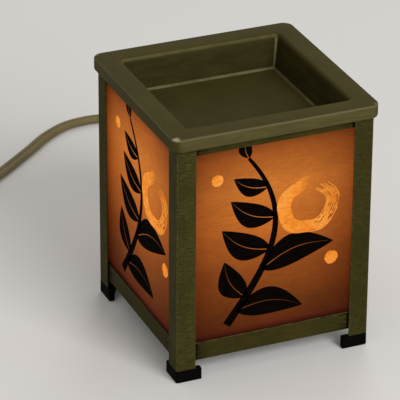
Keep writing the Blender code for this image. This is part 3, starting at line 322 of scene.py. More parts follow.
def paint_frame():
    """Satin olive paint over sheet steel, brushed crosswise in fine lines, darker towards the right in
    painted shade, and worn along its edges with a painted highlight on them.
    """
    p = Paint("olive_paint", 0.5, 0.025)
    x, y, _ = p.axis()
    along = p.along_side(x, y)
    lines = p.noise(190, 4.0, 0.62, 0.1, stretch=(1, 1, 11))
    fine = p.noise(480, 3.0, 0.6, stretch=(1, 1, 10))
    patches = p.noise(55)
    strokes = p.times(p.span(lines, 0.38, 0.62), p.span(patches, 0.35, 0.65, 0.35, 1.0))
    # The fold and each post's free edge: partly worn paint, partly a painted highlight
    fold = p.span(along, FRAME_HALF - 0.0011, FRAME_HALF - 0.0002)
    on_post = p.span(along, POST_EDGE - 0.0007, POST_EDGE)
    free_edge = p.times(p.span(along, POST_EDGE + 0.0007, POST_EDGE + 0.0001), on_post)
    patchy = p.span(p.noise(230, 4.0, stretch=(1, 1, 3)), 0.34, 0.62)
    wear_and_highlight = p.times(p.math("MAXIMUM", p.times(fold, 0.85), p.times(free_edge, 0.5)), patchy, 0.75)
    # Painted shade darkens the frame towards the right side (+X)
    p.cover(
        FRAME_DARK, (strokes, FRAME_LIGHT), (p.span(fine, 0.44, 0.68, 0.0, 0.65), FRAME_LINE),
        (p.span(x, 0.030, 0.050, 0.0, 0.30), FRAME_SHADED), (wear_and_highlight, FRAME_WEAR_AND_HIGHLIGHT),
    )
    p.set("Roughness", p.span(lines, 0.3, 0.7, 0.44, 0.60))
    p.bump(p.math("ADD", lines, p.times(fine, 0.5)), 0.00016, 0.6)
    return p.material


# The rails' olive: its two tones, in patches, in painted shade in strokes at the ends, in a painted shadow
# line beside a post, and worn with a painted highlight
RAIL_DARK = (0.029, 0.0246, 0.0054)
RAIL_LIGHT = (0.043, 0.0365, 0.0080)
RAIL_PATCH = (0.053, 0.0445, 0.0090)
RAIL_SHADE_AT_ENDS = (0.0080, 0.0074, 0.0018)
RAIL_GAP_SHADOW = (0.0030, 0.0028, 0.0012)
RAIL_WEAR_AND_HIGHLIGHT = (0.105, 0.094, 0.036)


def paint_rail():
    """The frame's paint on the rails: smoother along the strip, darker towards both ends in painted shade
    brushed in strokes, with a painted shadow line beside each post.
    """
    p = Paint("olive_paint_rail", 0.5, 0.025)
    x, y, z = p.axis()
    along = p.along_side(x, y)
    lines = p.noise(150, 4.0, 0.6, stretch=(1, 1, 9))
    strokes = p.noise(150, 4.0, 0.65, 0.4, stretch=(1, 1, 5))
    mottled = p.span(p.noise(48), 0.4, 0.7, 0.0, 0.35)
    # Painted shade towards the rail's ends, broken by strokes, and a near-black painted shadow line where the
    # rail runs in behind a post
    ends = p.times(p.span(along, 0.0360, 0.0450), p.span(strokes, 0.36, 0.58), 0.9)
    gap = p.times(p.span(along, RAIL_END_SHADE, RAIL_END_SHADE + 0.0006), 0.9)
    # The bottom rail's lower fold and top edge: partly worn paint, partly a painted highlight
    low = p.span(z, BOTTOM_RAIL_Z + 0.0009, BOTTOM_RAIL_Z)
    on_low_rail = p.math("LESS_THAN", z, BOTTOM_RAIL_TOP + 0.0005)
    top = p.times(p.span(z, BOTTOM_RAIL_TOP - 0.0005, BOTTOM_RAIL_TOP - 0.0001), on_low_rail)
    patchy = p.span(p.noise(260, 4.0), 0.36, 0.6)
    wear_and_highlight = p.times(p.math("MAXIMUM", low, top), patchy, 0.5)
    p.cover(
        RAIL_DARK, (p.span(lines, 0.35, 0.66), RAIL_LIGHT), (mottled, RAIL_PATCH),
        (ends, RAIL_SHADE_AT_ENDS), (gap, RAIL_GAP_SHADOW), (wear_and_highlight, RAIL_WEAR_AND_HIGHLIGHT),
    )
    p.set("Roughness", p.span(lines, 0.3, 0.7, 0.44, 0.60))
    p.bump(p.math("ADD", lines, p.times(strokes, 0.6)), 0.00010, 0.5)
    return p.material


# The dish's glaze: its two tones, painted light on its outer faces, specks, painted shade on the well's floor
# and walls, and painted highlights on the well's edges, the rim's edge and its near corner
GLAZE_DARK = (0.052, 0.0440, 0.0115)
GLAZE_LIGHT = (0.063, 0.0540, 0.0155)
GLAZE_OUTSIDE_PAINTED_LIGHT = (0.089, 0.0785, 0.0280)
GLAZE_SPECK = (0.085, 0.078, 0.038)
GLAZE_FLOOR_SHADE = (0.010, 0.0080, 0.0024)
GLAZE_WALL_SHADE = (0.020, 0.0165, 0.0050)
GLAZE_LIP_HIGHLIGHT = (0.135, 0.118, 0.052)
GLAZE_UPRIGHT_HIGHLIGHT = (0.250, 0.212, 0.110)
GLAZE_FOOT_HIGHLIGHT = (0.155, 0.134, 0.066)
GLAZE_RIM_HIGHLIGHT = (0.180, 0.165, 0.095)
GLAZE_CORNER_GLINT = (0.380, 0.340, 0.220)


def paint_dish():
    """Satin olive glaze, with painted shade down the well's walls, painted light on its outer faces and
    painted highlights along the edges.
    """
    p = Paint("olive_glaze", 0.42, 0.018)
    x, y, z = p.axis()
    clouds = p.noise(34, 4.0, 0.6)
    specks = p.noise(900, 2.0)
    drift = p.noise(45, 3.0, 0.6, stretch=(1, 1, 5))
    broken = p.span(p.noise(120), 0.30, 0.60, 0.45, 1.0)
    brushed = p.span(p.noise(60, 4.0, 0.65, stretch=(1, 1, 14)), 0.30, 0.66, 0.35, 1.0)
    wide_x, wide_y = p.math("ABSOLUTE", x), p.math("ABSOLUTE", y)
    out = p.math("MAXIMUM", wide_x, wide_y)
    both = p.math("MINIMUM", wide_x, wide_y)
    facing = p.math("SUBTRACT", wide_y, wide_x)
    drop = p.math("SUBTRACT", RIM_TOP, z)
    wall = p.math("SUBTRACT", WELL_HALF, p.times(drop, WELL_DRAFT / WELL_DEPTH))
    inside = p.math("LESS_THAN", out, WELL_HALF + 0.0008)
    down = p.times(p.span(drop, 0.0012, 0.0042), inside)
    above_floor = p.span(z, WELL_FLOOR + 0.0004, WELL_FLOOR + 0.0016)
    # Painted light on the rim's outer faces, stronger on the front and back than on the left and right
    outside = p.times(
        p.span(out, RIM_HALF - 0.0010, RIM_HALF - 0.0001), p.span(facing, -0.004, 0.004, 0.15, 1.0), brushed,
    )
    # Painted highlight along the well's rounded top edge, mostly on the front and back
    lip = p.times(
        p.span(out, WELL_HALF + 0.0012, WELL_HALF + 0.0002), p.span(drop, 0.0003, 0.0010),
        p.span(drop, 0.0028, 0.0016), p.span(facing, -0.002, 0.002, 0.1, 1.0), broken, 0.7,
    )
    # Painted highlight down the well's inner corners
    upright = p.times(p.span(p.math("SUBTRACT", both, wall), -0.0015, -0.0006), down, broken)
    # Painted highlight where the walls meet the well's floor
    foot = p.times(
        p.span(out, WELL_FLOOR_HALF - 0.0016, WELL_FLOOR_HALF - 0.0009), inside,
        p.span(z, WELL_FLOOR + 0.0016, WELL_FLOOR + 0.0006), p.span(facing, -0.002, 0.002, 0.62, 1.0), broken,
    )
    # Painted highlight along the rim's top outer edge
    rim_highlight = p.times(p.span(out, RIM_HALF - 0.0009, RIM_HALF - 0.0004), p.span(drop, 0.0014, 0.0008), 0.35)
    # Painted glint on the rim's corners, strongest on the front left one
    corner = p.times(
        p.span(both, RIM_HALF - 0.0048, RIM_HALF - 0.0026), p.span(drop, 0.0016, 0.0006),
        p.span(p.math("ADD", x, y), -0.095, -0.110, 0.2, 0.9), broken,
    )
    p.cover(
        GLAZE_DARK, (p.span(clouds, 0.34, 0.68), GLAZE_LIGHT), (outside, GLAZE_OUTSIDE_PAINTED_LIGHT),
        (p.span(specks, 0.62, 0.76, 0.0, 0.2), GLAZE_SPECK),
        # Painted shade on the well's floor and, streaked, down its walls
        (p.times(p.span(drop, 0.0170, 0.0195), 0.18), GLAZE_FLOOR_SHADE),
        (p.times(down, above_floor, p.span(drift, 0.35, 0.65, 0.35, 0.66)), GLAZE_WALL_SHADE),
        (lip, GLAZE_LIP_HIGHLIGHT), (upright, GLAZE_UPRIGHT_HIGHLIGHT), (foot, GLAZE_FOOT_HIGHLIGHT), (rim_highlight, GLAZE_RIM_HIGHLIGHT),
        (corner, GLAZE_CORNER_GLINT),
    )
    p.set("Roughness", p.span(clouds, 0.3, 0.7, 0.38, 0.48))
    p.bump(p.noise(300), 0.00012, 0.25)
    return p.material


# The bulb's light through a pane, by height and by distance from the pane's middle, in metres, with a painted
# shadow of the bottom rail in its lowest stops and painted shade beside the posts
PANE_LIGHT = [
    (0.0130, (0.010, 0.0016, 0.0010)), (0.0218, (0.022, 0.0028, 0.0017)), (0.0236, (0.056, 0.0078, 0.0036)),
    (0.0258, (0.098, 0.0190, 0.0046)), (0.0350, (0.132, 0.0310, 0.0050)), (0.0600, (0.290, 0.0710, 0.0110)),
    (0.0880, (0.555, 0.1500, 0.0210)), (0.1100, (0.610, 0.1800, 0.0270)), (0.1290, (0.390, 0.1010, 0.0160)),
    (0.1387, (0.130, 0.0290, 0.0060)),
]
PANE_SHARE = [
    (0.0000, (1.00, 1.00, 1.00)), (0.0200, (0.92, 0.92, 0.92)), (0.0380, (0.66, 0.62, 0.62)),
    (0.0455, (0.50, 0.42, 0.42)), (0.0530, (0.18, 0.12, 0.12)),
]
PANE_LOW = 0.0125
PANE_HIGH = 0.1387
PANE_TINT = (0.012, 0.003, 0.001)
PANE_GLOW = 0.96


def paint_pane():
    """Frosted glass on linen grain, glowing amber in painted light from the bulb behind it: dimmer away from
    the bulb, with painted shadow at its foot and sides.
    """
    p = Paint("amber_pane", 0.60, 0.02)
    x, y, z = p.axis()
    height = PANE_HIGH - PANE_LOW
    up = p.math("DIVIDE", p.math("SUBTRACT", z, PANE_LOW), height)
    across = p.math("DIVIDE", p.along_side(x, y), FRAME_HALF)
    glow = p.ramp(up, [((place - PANE_LOW) / height, colour) for place, colour in PANE_LIGHT])
    side = p.ramp(across, [(place / FRAME_HALF, share) for place, share in PANE_SHARE])
    grain = p.noise(170, 3.0, 0.6, stretch=(1, 1, 8))
    weft = p.noise(150, 2.0, stretch=(8, 8, 1))
    clouds = p.noise(40)
    texture = p.times(
        p.span(grain, 0.3, 0.7, 0.90, 1.08), p.span(weft, 0.3, 0.7, 0.97, 1.03),
        p.span(clouds, 0.3, 0.7, 0.94, 1.05),
    )
    lit = p.mix(1.0, glow, side, "MULTIPLY")
    lit = p.node("ShaderNodeVectorMath", {0: lit, 3: texture}, operation="SCALE").outputs[0]
    p.set("Base Color", PANE_TINT)
    p.set("Emission Color", lit)
    p.set("Emission Strength", PANE_GLOW)
    p.bump(grain, 0.00010, 0.35)
    return p.material


# The prints: the ink's two tones, and the brush's tint, tones along and between its streaks, and glow
INK_DARK = (0.0014, 0.0009, 0.0006)
INK_LIGHT = (0.0040, 0.0022, 0.0012)
BRUSH_TINT = (0.090, 0.030, 0.006)
BRUSH_DARK = (0.80, 0.200, 0.012)
BRUSH_LIGHT = (0.98, 0.350, 0.042)
BRUSH_CLOUD = (1.00, 0.450, 0.085)
BRUSH_GLOW = 0.88


def paint_ink():
    p = Paint("black_ink", 0.80, 0.01)
    grain = p.noise(170, stretch=(1, 1, 8))
    p.cover(INK_DARK, (p.span(grain, 0.35, 0.7), INK_LIGHT))
    p.bump(grain, 0.00010, 0.4)
    return p.material


def paint_brush():
    """Thin translucent paint that the bulb shines through, streaked along the stroke."""
    p = Paint("bright_brush", 0.60, 0.03)
    streaks = p.noise(260, 4.0, 0.65, stretch=(1, 1, 2.2))
    clouds = p.noise(90)
    colour = p.mix(p.span(streaks, 0.34, 0.66), BRUSH_DARK, BRUSH_LIGHT)
    p.set("Base Color", BRUSH_TINT)
    p.set("Emission Color", p.mix(p.span(clouds, 0.45, 0.75, 0.0, 0.5), colour, BRUSH_CLOUD))
    p.set("Emission Strength", BRUSH_GLOW)
    return p.material


def paint_plastic(name, dark, light, roughness, scale=240, rise=0.00006, gloss=0.35):
    p = Paint(name, roughness, gloss)
    grain = p.noise(scale * 8, 2.0)
    clouds = p.noise(scale / 6)
    p.cover(dark, (p.span(clouds, 0.3, 0.7), light))
    p.set("Roughness", p.span(clouds, 0.3, 0.7, roughness - 0.05, roughness + 0.06))
    p.bump(grain, rise, 0.4)
    return p.material


def paint_metal(name, colour, dull, roughness, stretch=None):
    p = Paint(name, roughness, metallic=1.0)
    drawn = p.noise(320, 4.0, 0.6, stretch=stretch)
    stains = p.noise(90)
    p.cover(colour, (p.span(stains, 0.42, 0.75, 0.0, 0.8), dull))
    p.set("Roughness", p.span(drawn, 0.3, 0.7, roughness - 0.08, roughness + 0.10))
    p.bump(drawn, 0.00005, 0.4)
    return p.material


# The bulb's glass: its tint, its glow below and above, and the heights between which that changes
BULB_TINT = (0.85, 0.78, 0.62)
BULB_LOW = (1.0, 0.42, 0.12)
BULB_HIGH = (1.0, 0.74, 0.40)
BULB_RISE = (0.052, 0.075)
BULB_GLOW = 1.6


def paint_bulb():
    """Glass frosted inside, glowing, brightest above its middle."""
    p = Paint("lit_glass", 0.25)
    z = p.axis()["Z"]
    p.set("Base Color", BULB_TINT)
    p.set("Emission Color", p.mix(p.span(z, *BULB_RISE), BULB_LOW, BULB_HIGH))
    p.set("Emission Strength", BULB_GLOW)
    return p.material


def from_bmesh(name, bm, soft=True):
    mesh = bpy.data.meshes.new(name)
    bmesh.ops.recalc_face_normals(bm, faces=bm.faces)
    bm.to_mesh(mesh)
    bm.free()
    if soft:
        mesh.shade_smooth()
    return linked(name, mesh)


def dress(obj, material, nodes=(), body="lantern"):
    obj.data.materials.clear()
    obj.data.materials.append(material)
    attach(obj, body)
    if nodes:
        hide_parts(*nodes)
    return obj


def shares(steps):
    """From nought to one in equal steps."""
    return [i / steps for i in range(steps + 1)]


def arc(centre, radius, start, end, steps):
    angles = [radians(start + (end - start) * i / steps) for i in range(steps + 1)]
    return [(centre[0] + radius * cos(a), centre[1] + radius * sin(a)) for a in angles]


def turn(degrees):
    return Matrix.Rotation(radians(degrees), 4, "Z")


def loft(bm, rings):
    """A closed form: faces between rings of points, each ring closed, and one over each end."""
    rows = [[bm.verts.new(p) for p in ring] for ring in rings]
    count = len(rows[0])
    for a, b in zip(rows, rows[1:]):
        for i in range(count):
            j = (i + 1) % count
            bm.faces.new((a[i], a[j], b[j], b[i]))
    bm.faces.new(rows[0][::-1])
    bm.faces.new(rows[-1])


def lofted(name, rings, soft=True):
    bm = bmesh.new()
    loft(bm, rings)
    return from_bmesh(name, bm, soft)


def square_ring(half, corner, z):
    points = []
    for k, (sx, sy) in enumerate([(1, -1), (1, 1), (-1, 1), (-1, -1)]):
        centre = (sx * (half - corner), sy * (half - corner))
        points += [(x, y, z) for x, y in arc(centre, corner, 90 * k - 90, 90 * k, 10)]
    return points


def make_dish(material):
    """The dish again, with its corners and edges in finer steps."""
    rings = []

    def edge(half, height, radius, side, up, start, end, corner, steps=6):
        """One rounded edge, whose corners grow with its half width."""
        centre = (half + side * radius, height + up * radius)
        rings.extend((x, corner + x - half, z) for x, z in arc(centre, radius, start, end, steps))

    outer_corner = WELL_CORNER + DISH_WALL
    neck_half = WELL_HALF + DISH_WALL
    edge(WELL_FLOOR_HALF + DISH_WALL, WELL_FLOOR - DISH_WALL, DISH_FOOT_ROUND, -1, 1, -90, 0, outer_corner)
    rings.append((neck_half - 0.0003, outer_corner, RIM_UNDERSIDE - 0.0009))
    rings.append((neck_half + 0.0009, outer_corner, RIM_UNDERSIDE))
    edge(RIM_HALF, RIM_UNDERSIDE, RIM_UNDER_ROUND, -1, 1, -90, 0, RIM_CORNER)
    edge(RIM_HALF, RIM_TOP, RIM_TOP_ROUND, -1, -1, 0, 90, RIM_CORNER)
    edge(WELL_HALF, RIM_TOP, WELL_TOP_ROUND, 1, -1, 90, 180, WELL_CORNER, 8)
    for share in (0.25, 0.5, 0.75):
        rings.append((WELL_HALF - WELL_DRAFT * share, WELL_CORNER, RIM_TOP - WELL_DEPTH * share))
    edge(WELL_FLOOR_HALF, WELL_FLOOR, WELL_FOOT_ROUND, -1, 1, 0, -90, WELL_CORNER)
    rings.append((WELL_FLOOR_HALF - 0.006, WELL_CORNER, WELL_FLOOR))
    dish = lofted("dish_glazed", [square_ring(*ring) for ring in rings])
    dress(dish, material, ["dish"], "dish")


def rounded_strip(points, bend, steps):
    """The section of a folded strip from its outer line, with rounded folds and edges."""
    line = [Vector(p) for p in points]
    turn_sign = 1 if (line[1] - line[0]).cross(line[2] - line[1]) > 0 else -1
    soft = SHEET * 0.28
    outer, inner = [], []
    for i, p in enumerate(line):
        if 0 < i < len(line) - 1:
            a = (line[i - 1] - p).normalized()
            b = (line[i + 1] - p).normalized()
            centre = p + (a + b) * bend
            start, end = p + a * bend, p + b * bend
            first = atan2(*(start - centre).yx)
            last = atan2(*(end - centre).yx)
            sweep = (last - first + pi) % (2 * pi) - pi
            for share in shares(steps):
                spin = first + sweep * share
                ray = Vector((cos(spin), sin(spin)))
                outer.append(centre + ray * bend)
                inner.append(centre + ray * max(bend - SHEET, 0.00005))
        else:
            ahead = (line[1] - line[0] if i == 0 else line[-1] - line[-2]).normalized()
            across = Vector((-ahead.y, ahead.x)) * turn_sign
            edge = ahead * soft * (1 if i == 0 else -1)
            outside = [p + across * soft, p + edge]
            inside = [p + across * (SHEET - soft), p + across * SHEET + edge]
            outer += outside if i == 0 else outside[::-1]
            inner += inside if i == 0 else inside[::-1]
    return outer + inner[::-1]


def corner_place(degrees):
    """The frame of one corner of the lantern, whose X and Y run along its two sides."""
    return turn(degrees) @ Matrix.Translation((-FRAME_HALF, -FRAME_HALF, 0))


def make_posts(material):
    section = rounded_strip([(POST_LEG, 0), (0, 0), (0, POST_LEG)], SHEET_BEND + SHEET_SOFT, 6)
    middle = Vector((SHEET / 2, SHEET / 2))
    low, high = POST_LOW + SHEET_SOFT, POST_TOP - SHEET_SOFT
    levels = [(POST_LOW, POST_DRAWN), (low, 0), (high, 0), (POST_TOP, POST_DRAWN)]
    for corner, degrees in CORNERS:
        place = corner_place(degrees)
        rings = [[place @ Vector((*p.lerp(middle, drawn), z)) for p in section] for z, drawn in levels]
        post = lofted(f"post_sheet_{corner}", rings, False)
        dress(post, material, [f"post_{corner}"])


def make_rails(material):
    foot, lip = (0, BOTTOM_RAIL_Z), (LIP_DEPTH, POST_TOP)
    low = rounded_strip([(0, BOTTOM_RAIL_TOP), foot, (BOTTOM_FLANGE, BOTTOM_RAIL_Z)], SHEET_BEND, 5)
    high = rounded_strip([(LIP_DEPTH, TOP_LIP_LOW), lip, (0, POST_TOP), (0, TOP_RAIL_LOW)], SHEET_BEND, 4)
    for side, degrees in SIDES:
        for name, node, section, mitre in (
            ("rail_low", "rail_bottom", low, 1), ("rail_high", "rail_top", high, 0),
        ):
            rings = []
            for end in (-1, 1):
                places = (Vector((end * (RAIL_HALF - mitre * p.x), -RAIL_FACE + p.x, p.y)) for p in section)
                rings.append([turn(degrees) @ place for place in places])
            rail = lofted(f"{name}_{side}", rings, False)
            dress(rail, material, [f"{node}_{side}"])


def make_feet(material):
    """Black rubber shoes: soft edges, and a peg up inside the post."""
    wall, block, leg, clear = FOOT_WALL, FOOT_BLOCK, FOOT_LEG, SHEET + CLEARANCE
    outline = [
        (leg, 0), (leg, wall), (block, wall), (block, block), (wall, block), (wall, leg), (0, leg),
        *arc((SHEET_BEND, SHEET_BEND), SHEET_BEND, 180, 270, 5),
    ]
    peg = [(clear, clear), (block, clear), (block, block), (clear, block)]
    for corner, degrees in CORNERS:
        place = corner_place(degrees)
        bm = bmesh.new()
        for section, heights in ((outline, (0, FOOT_HEIGHT)), (peg, (PEG_LOW, PEG_TOP))):
            loft(bm, [[place @ Vector((x, y, z)) for x, y in section] for z in heights])
        foot = from_bmesh(f"foot_shoe_{corner}", bm, False)
        step = foot.modifiers.new("rounded", "BEVEL")
        step.width = FOOT_SOFT
        step.segments = 3
        step.limit_method = "ANGLE"
        step.angle_limit = radians(35)
        dress(foot, material, [f"foot_{corner}"])


def smooth(points, step):
    """Points about a step apart on the smooth curve that passes through a route's own points."""
    line = [Vector(p) for p in points]
    knots = [2 * line[0] - line[1], *line, 2 * line[-1] - line[-2]]
    fine = []
    for a, b, c, d in zip(knots, knots[1:], knots[2:], knots[3:]):
        for i in range(16):
            t = i / 16
            fine.append(0.5 * (
                2 * b + (c - a) * t + (2 * a - 5 * b + 4 * c - d) * t ** 2 + (3 * b - a - 3 * c + d) * t ** 3
            ))
    fine.append(knots[-2])
    along = [0.0]
    for a, b in zip(fine, fine[1:]):
        along.append(along[-1] + (b - a).length)
    count = max(2, round(along[-1] / step))
    made, k = [], 0
    for i in range(count + 1):
        want = along[-1] * i / count
        while k < len(fine) - 2 and along[k + 1] < want:
            k += 1
        made.append(fine[k].lerp(fine[k + 1], (want - along[k]) / (along[k + 1] - along[k])))
    return made


def coil_path():
    total = 2 * pi * COIL_TURNS
    start = radians(COIL_START_DEG)
    points = []
    for share in shares(COIL_STEPS * COIL_TURNS):
        gone = total * share
        reach = COIL_R - COIL_PITCH * min(gone, total - gone) / (2 * pi)
        climb = min(1.0, max(0.0, (gone - total / 2) / pi + 0.5))
        x, y = COIL_X + reach * cos(start - gone), COIL_Y + reach * sin(start - gone)
        points.append(Vector((x, y, LEAD_LIE + COIL_LAYER * climb)))
    tangent = Vector((sin(start), -cos(start), 0))
    return [points[0] - tangent * LEAD_WIDTH, *points, points[-1] + tangent * LEAD_WIDTH]


def tail_path(coil):
    heading = (coil[-1] - coil[-2]).normalized()
    right = Vector((heading.y, -heading.x, 0)).normalized()
    first = coil[-1] + heading * CLEARANCE
    start = first + heading * LEAD_SQUARE
    middle = start + right * TAIL_BEND_R
    rise = LEAD_LIE + COIL_LAYER + LEAD_THICK / 2 + CLEARANCE + PLUG_THICK / 2 - start.z
    points = [first]
    for share in shares(TAIL_STEPS):
        spin = Matrix.Rotation(-radians(TAIL_BEND_DEG) * share, 3, "Z")
        place = middle - spin @ right * TAIL_BEND_R
        place.z = start.z + rise * sin(pi / 2 * share)
        points.append(place)
    points.append(points[-1] + spin @ heading * LEAD_SQUARE)
    return points


def spline_curve(name, dimensions, points):
    """A curve with one open spline through the points."""
    curve = bpy.data.curves.new(name, "CURVE")
    curve.dimensions = dimensions
    spline = curve.splines.new("POLY")
    spline.points.add(len(points) - 1)
    for point, place in zip(spline.points, points):
        point.co = (*place, 1)
    return curve


def lead_section():
    """The section of the flat twin lead, a groove along the middle of both faces."""
    core = LEAD_THICK / 2
    centre = LEAD_WIDTH / 2 - core
    right = arc((centre, 0), core, -LEAD_CORE_DEG, LEAD_CORE_DEG, 9)
    left = arc((-centre, 0), core, 180 - LEAD_CORE_DEG, 180 + LEAD_CORE_DEG, 9)
    points = [*right, (0, core * LEAD_GROOVE), *left, (0, -core * LEAD_GROOVE)][::-1]
    curve = spline_curve("lead_section", "2D", [(x, y, 0) for x, y in points])
    curve.fill_mode = "NONE"
    curve.splines[0].use_cyclic_u = True
    section = linked("lead_section", curve)
    section.hide_render = section.hide_viewport = True
    return section


def lead_curve(name, points, section):
    curve = spline_curve(name, "3D", points)
    curve.twist_mode = "Z_UP"
    curve.bevel_mode = "OBJECT"
    curve.bevel_object = section
    curve.use_fill_caps = True
    curve.splines[0].use_smooth = True
    return linked(name, curve)


def oval(half_wide, half_high, power, count):
    """A ring between an ellipse (power 2) and a rectangle, as pairs (across, up)."""
    points = []
    for k in range(count):
        angle = 2 * pi * k / count
        across, up = (copysign(abs(v) ** (2 / power), v) for v in (cos(angle), sin(angle)))
        points.append((half_wide * across, half_high * up))
    return points


def make_boot(material):
    """The moulded elbow, its tail ribbed and tapering towards the lead."""
    bm = bmesh.new()

    def stack(levels, half, power, count):
        """One upright block, from its levels' heights and how far each is drawn in."""
        sections = [(z, oval(half - pull, half - pull, power, count)) for z, pull in levels]
        loft(bm, [[Vector((x, BOOT_Y + y, z)) for x, y in section] for z, section in sections])

    low, high = BOOT_LOW, BOOT_HIGH
    stack([(low, 0.0009), (low + 0.0003, 0.0003), (low + 0.0009, 0),
           (high - 0.0009, 0), (high - 0.0003, 0.0003), (high, 0.0009)], BOOT_HALF, 6, 36)
    for radius, low, high in ((0.0048, BOOT_HIGH - 0.0005, 0.0141), (0.0064, 0.0138, 0.0153)):
        stack([(low, 0.0002), (low + 0.0002, 0), (high - 0.0003, 0), (high, 0.0003)], radius, 2, 28)
    start = BOOT_Y + BOOT_HALF - 0.0015
    rings = []
    for share in shares(BOOT_RIBS * 6):
        taper = 1 - 0.16 * share
        wave = 0.5 - 0.5 * cos(2 * pi * BOOT_RIBS * share)
        groove = 0.00065 * wave if 0.04 < share < 0.97 else 0
        y = start + (BOOT_END - start) * share
        tail = oval(0.0055 * taper - groove, 0.0036 * taper - groove, 2.3, 28)
        rings.append([Vector((x, y, LEAD_TO_SWITCH[0][2] + z)) for x, z in tail])
    loft(bm, rings)
    return dress(from_bmesh("lead_boot_moulded", bm), material, ["lead_boot"])


def cutter(low, high, place):
    """A block for cutting, from its low corner to its high one."""
    low, high = Vector(low), Vector(high)
    bm = bmesh.new()
    matrix = Matrix.Translation((high + low) / 2) @ Matrix.Diagonal((*(high - low), 1.0))
    bmesh.ops.create_cube(bm, size=1.0, matrix=matrix)
    made = from_bmesh("cutter", bm, False)
    made.data.transform(place)
    return made


def round_cutter(radius, low, high, place):
    """A round bar for cutting, along local Z from low to high."""
    bm = bmesh.new()
    bmesh.ops.create_cone(bm, cap_ends=True, segments=28, radius1=radius, radius2=radius, depth=high - low,
                          matrix=place @ Matrix.Translation((0, 0, (low + high) / 2)))
    return from_bmesh("cutter", bm, False)


def cut(target, tools):
    """The target with the tools cut out, as a plain mesh whose sharper edges are kept crisp."""
    for tool in tools:
        step = target.modifiers.new(tool.name, "BOOLEAN")
        step.operation = "DIFFERENCE"
        step.solver = "EXACT"
        step.object = tool
    bpy.context.view_layer.update()
    seen = target.evaluated_get(bpy.context.evaluated_depsgraph_get())
    mesh = bpy.data.meshes.new_from_object(seen)
    target.modifiers.clear()
    target.data = mesh
    for tool in tools:
        bpy.data.objects.remove(tool, do_unlink=True)
    bm = bmesh.new()
    bm.from_mesh(mesh)
    for edge in bm.edges:
        edge.smooth = len(edge.link_faces) == 2 and edge.calc_face_angle(0.0) < radians(32)
    bm.to_mesh(mesh)
    bm.free()
    for face in mesh.polygons:
        face.use_smooth = True


def laid_along(start, heading, ahead):
    """The frame of a piece that lies a little ahead of a point of the lead, its X along the lead."""
    flat = Vector((heading.x, heading.y, 0)).normalized()
    across = Vector((-flat.y, flat.x, 0))
    rotation = Matrix((flat, across, Vector((0, 0, 1)))).transposed().to_4x4()
    return Matrix.Translation(start + flat * ahead) @ rotation


def switch_rings():
    """Rings along the switch's case, drawn in at the ends, with finger ridges beside the wheel."""
    half = SWITCH_HEIGHT / 2
    rings = []
    for i in range(SWITCH_STEPS + 1):
        x = -SWITCH_LENGTH / 2 + SWITCH_LENGTH * i / SWITCH_STEPS
        out = abs(x) / (SWITCH_LENGTH / 2)
        blend = min(1.0, max(0.0, (out - SWITCH_TAPER) / (1 - SWITCH_TAPER)))
        end = max(0.0, (out - 0.955) / 0.045)
        pull = 0.0012 * (1 - sqrt(max(0.0, 1 - end * end)))
        wave = 0.5 - 0.5 * cos(2 * pi * (out - SWITCH_TAPER) / 0.055)
        ridge = 0.00025 * wave if SWITCH_TAPER < out < 0.75 else 0
        wide = SWITCH_HALF_WIDE - 0.0040 * blend ** 1.5 - pull - ridge
        tall = half - 0.0026 * blend ** 2.2 - pull
        drop = half - tall
        rings.append([Vector((x, y, max(z - drop, -half))) for y, z in oval(wide, tall, 4.2, 44)])
    return rings


def make_switch(material):
    """Two half cases that meet at a seam, with the wheel's pocket, its axle's seat and the screw's hole."""
    before, end = (Vector((x, y, 0)) for x, y, _ in LEAD_TO_SWITCH[-2:])
    place = laid_along(end, end - before, SWITCH_LENGTH / 2 + CLEARANCE)
    low, high = SWITCH_PAD, SWITCH_PAD + SWITCH_HEIGHT
    lift = Matrix.Translation((0, 0, (low + high) / 2))
    axle = place @ Matrix.Translation((0, 0, WHEEL_AXIS_Z)) @ Matrix.Rotation(pi / 2, 4, "X")
    screw = place @ Matrix.Translation((SWITCH_SCREW_X, 0, 0))
    over = high + 0.002
    made = []
    for name, node, up in (("switch_case_low", "switch_lower", -1), ("switch_case_high", "switch_upper", 1)):
        bm = bmesh.new()
        loft(bm, [[lift @ point for point in ring] for ring in switch_rings()])
        got = bmesh.ops.bisect_plane(
            bm, geom=bm.verts[:] + bm.edges[:] + bm.faces[:], dist=1e-6, plane_no=(0, 0, 1),
            plane_co=(0, 0, WHEEL_AXIS_Z + SWITCH_SEAM * up), clear_inner=up > 0, clear_outer=up < 0,
        )
        rim = [e for e in got["geom_cut"] if isinstance(e, bmesh.types.BMEdge)]
        bmesh.ops.contextual_create(bm, geom=rim)
        case = from_bmesh(name, bm)
        case.data.transform(place)
        pocket = (-WHEEL_POCKET, -WHEEL_HALF_POCKET, WHEEL_AXIS_Z - WHEEL_POCKET)
        tools = [
            cutter(pocket, (WHEEL_POCKET, WHEEL_HALF_POCKET, over), place),
            round_cutter(0.0019, -0.0080, 0.0080, axle), round_cutter(0.0018, low + 0.002, over, screw),
        ]
        if up > 0:
            tools.append(round_cutter(0.0033, high - 0.0024, over, screw))
        cut(case, tools)
        made.append(dress(case, material, [node]))
    return made


# The plug's body: distance from its relief, half width and half height
PLUG_BODY = [
    (0.0005, 0.0070, 0.0044), (0.0010, 0.0078, 0.0055), (0.0022, 0.0084, 0.0061), (0.0060, 0.0098, 0.0063),
    (0.0100, 0.0113, 0.0064), (0.0125, 0.0118, 0.0065), (0.0160, 0.0120, 0.0065), (0.0215, 0.0120, 0.0065),
]


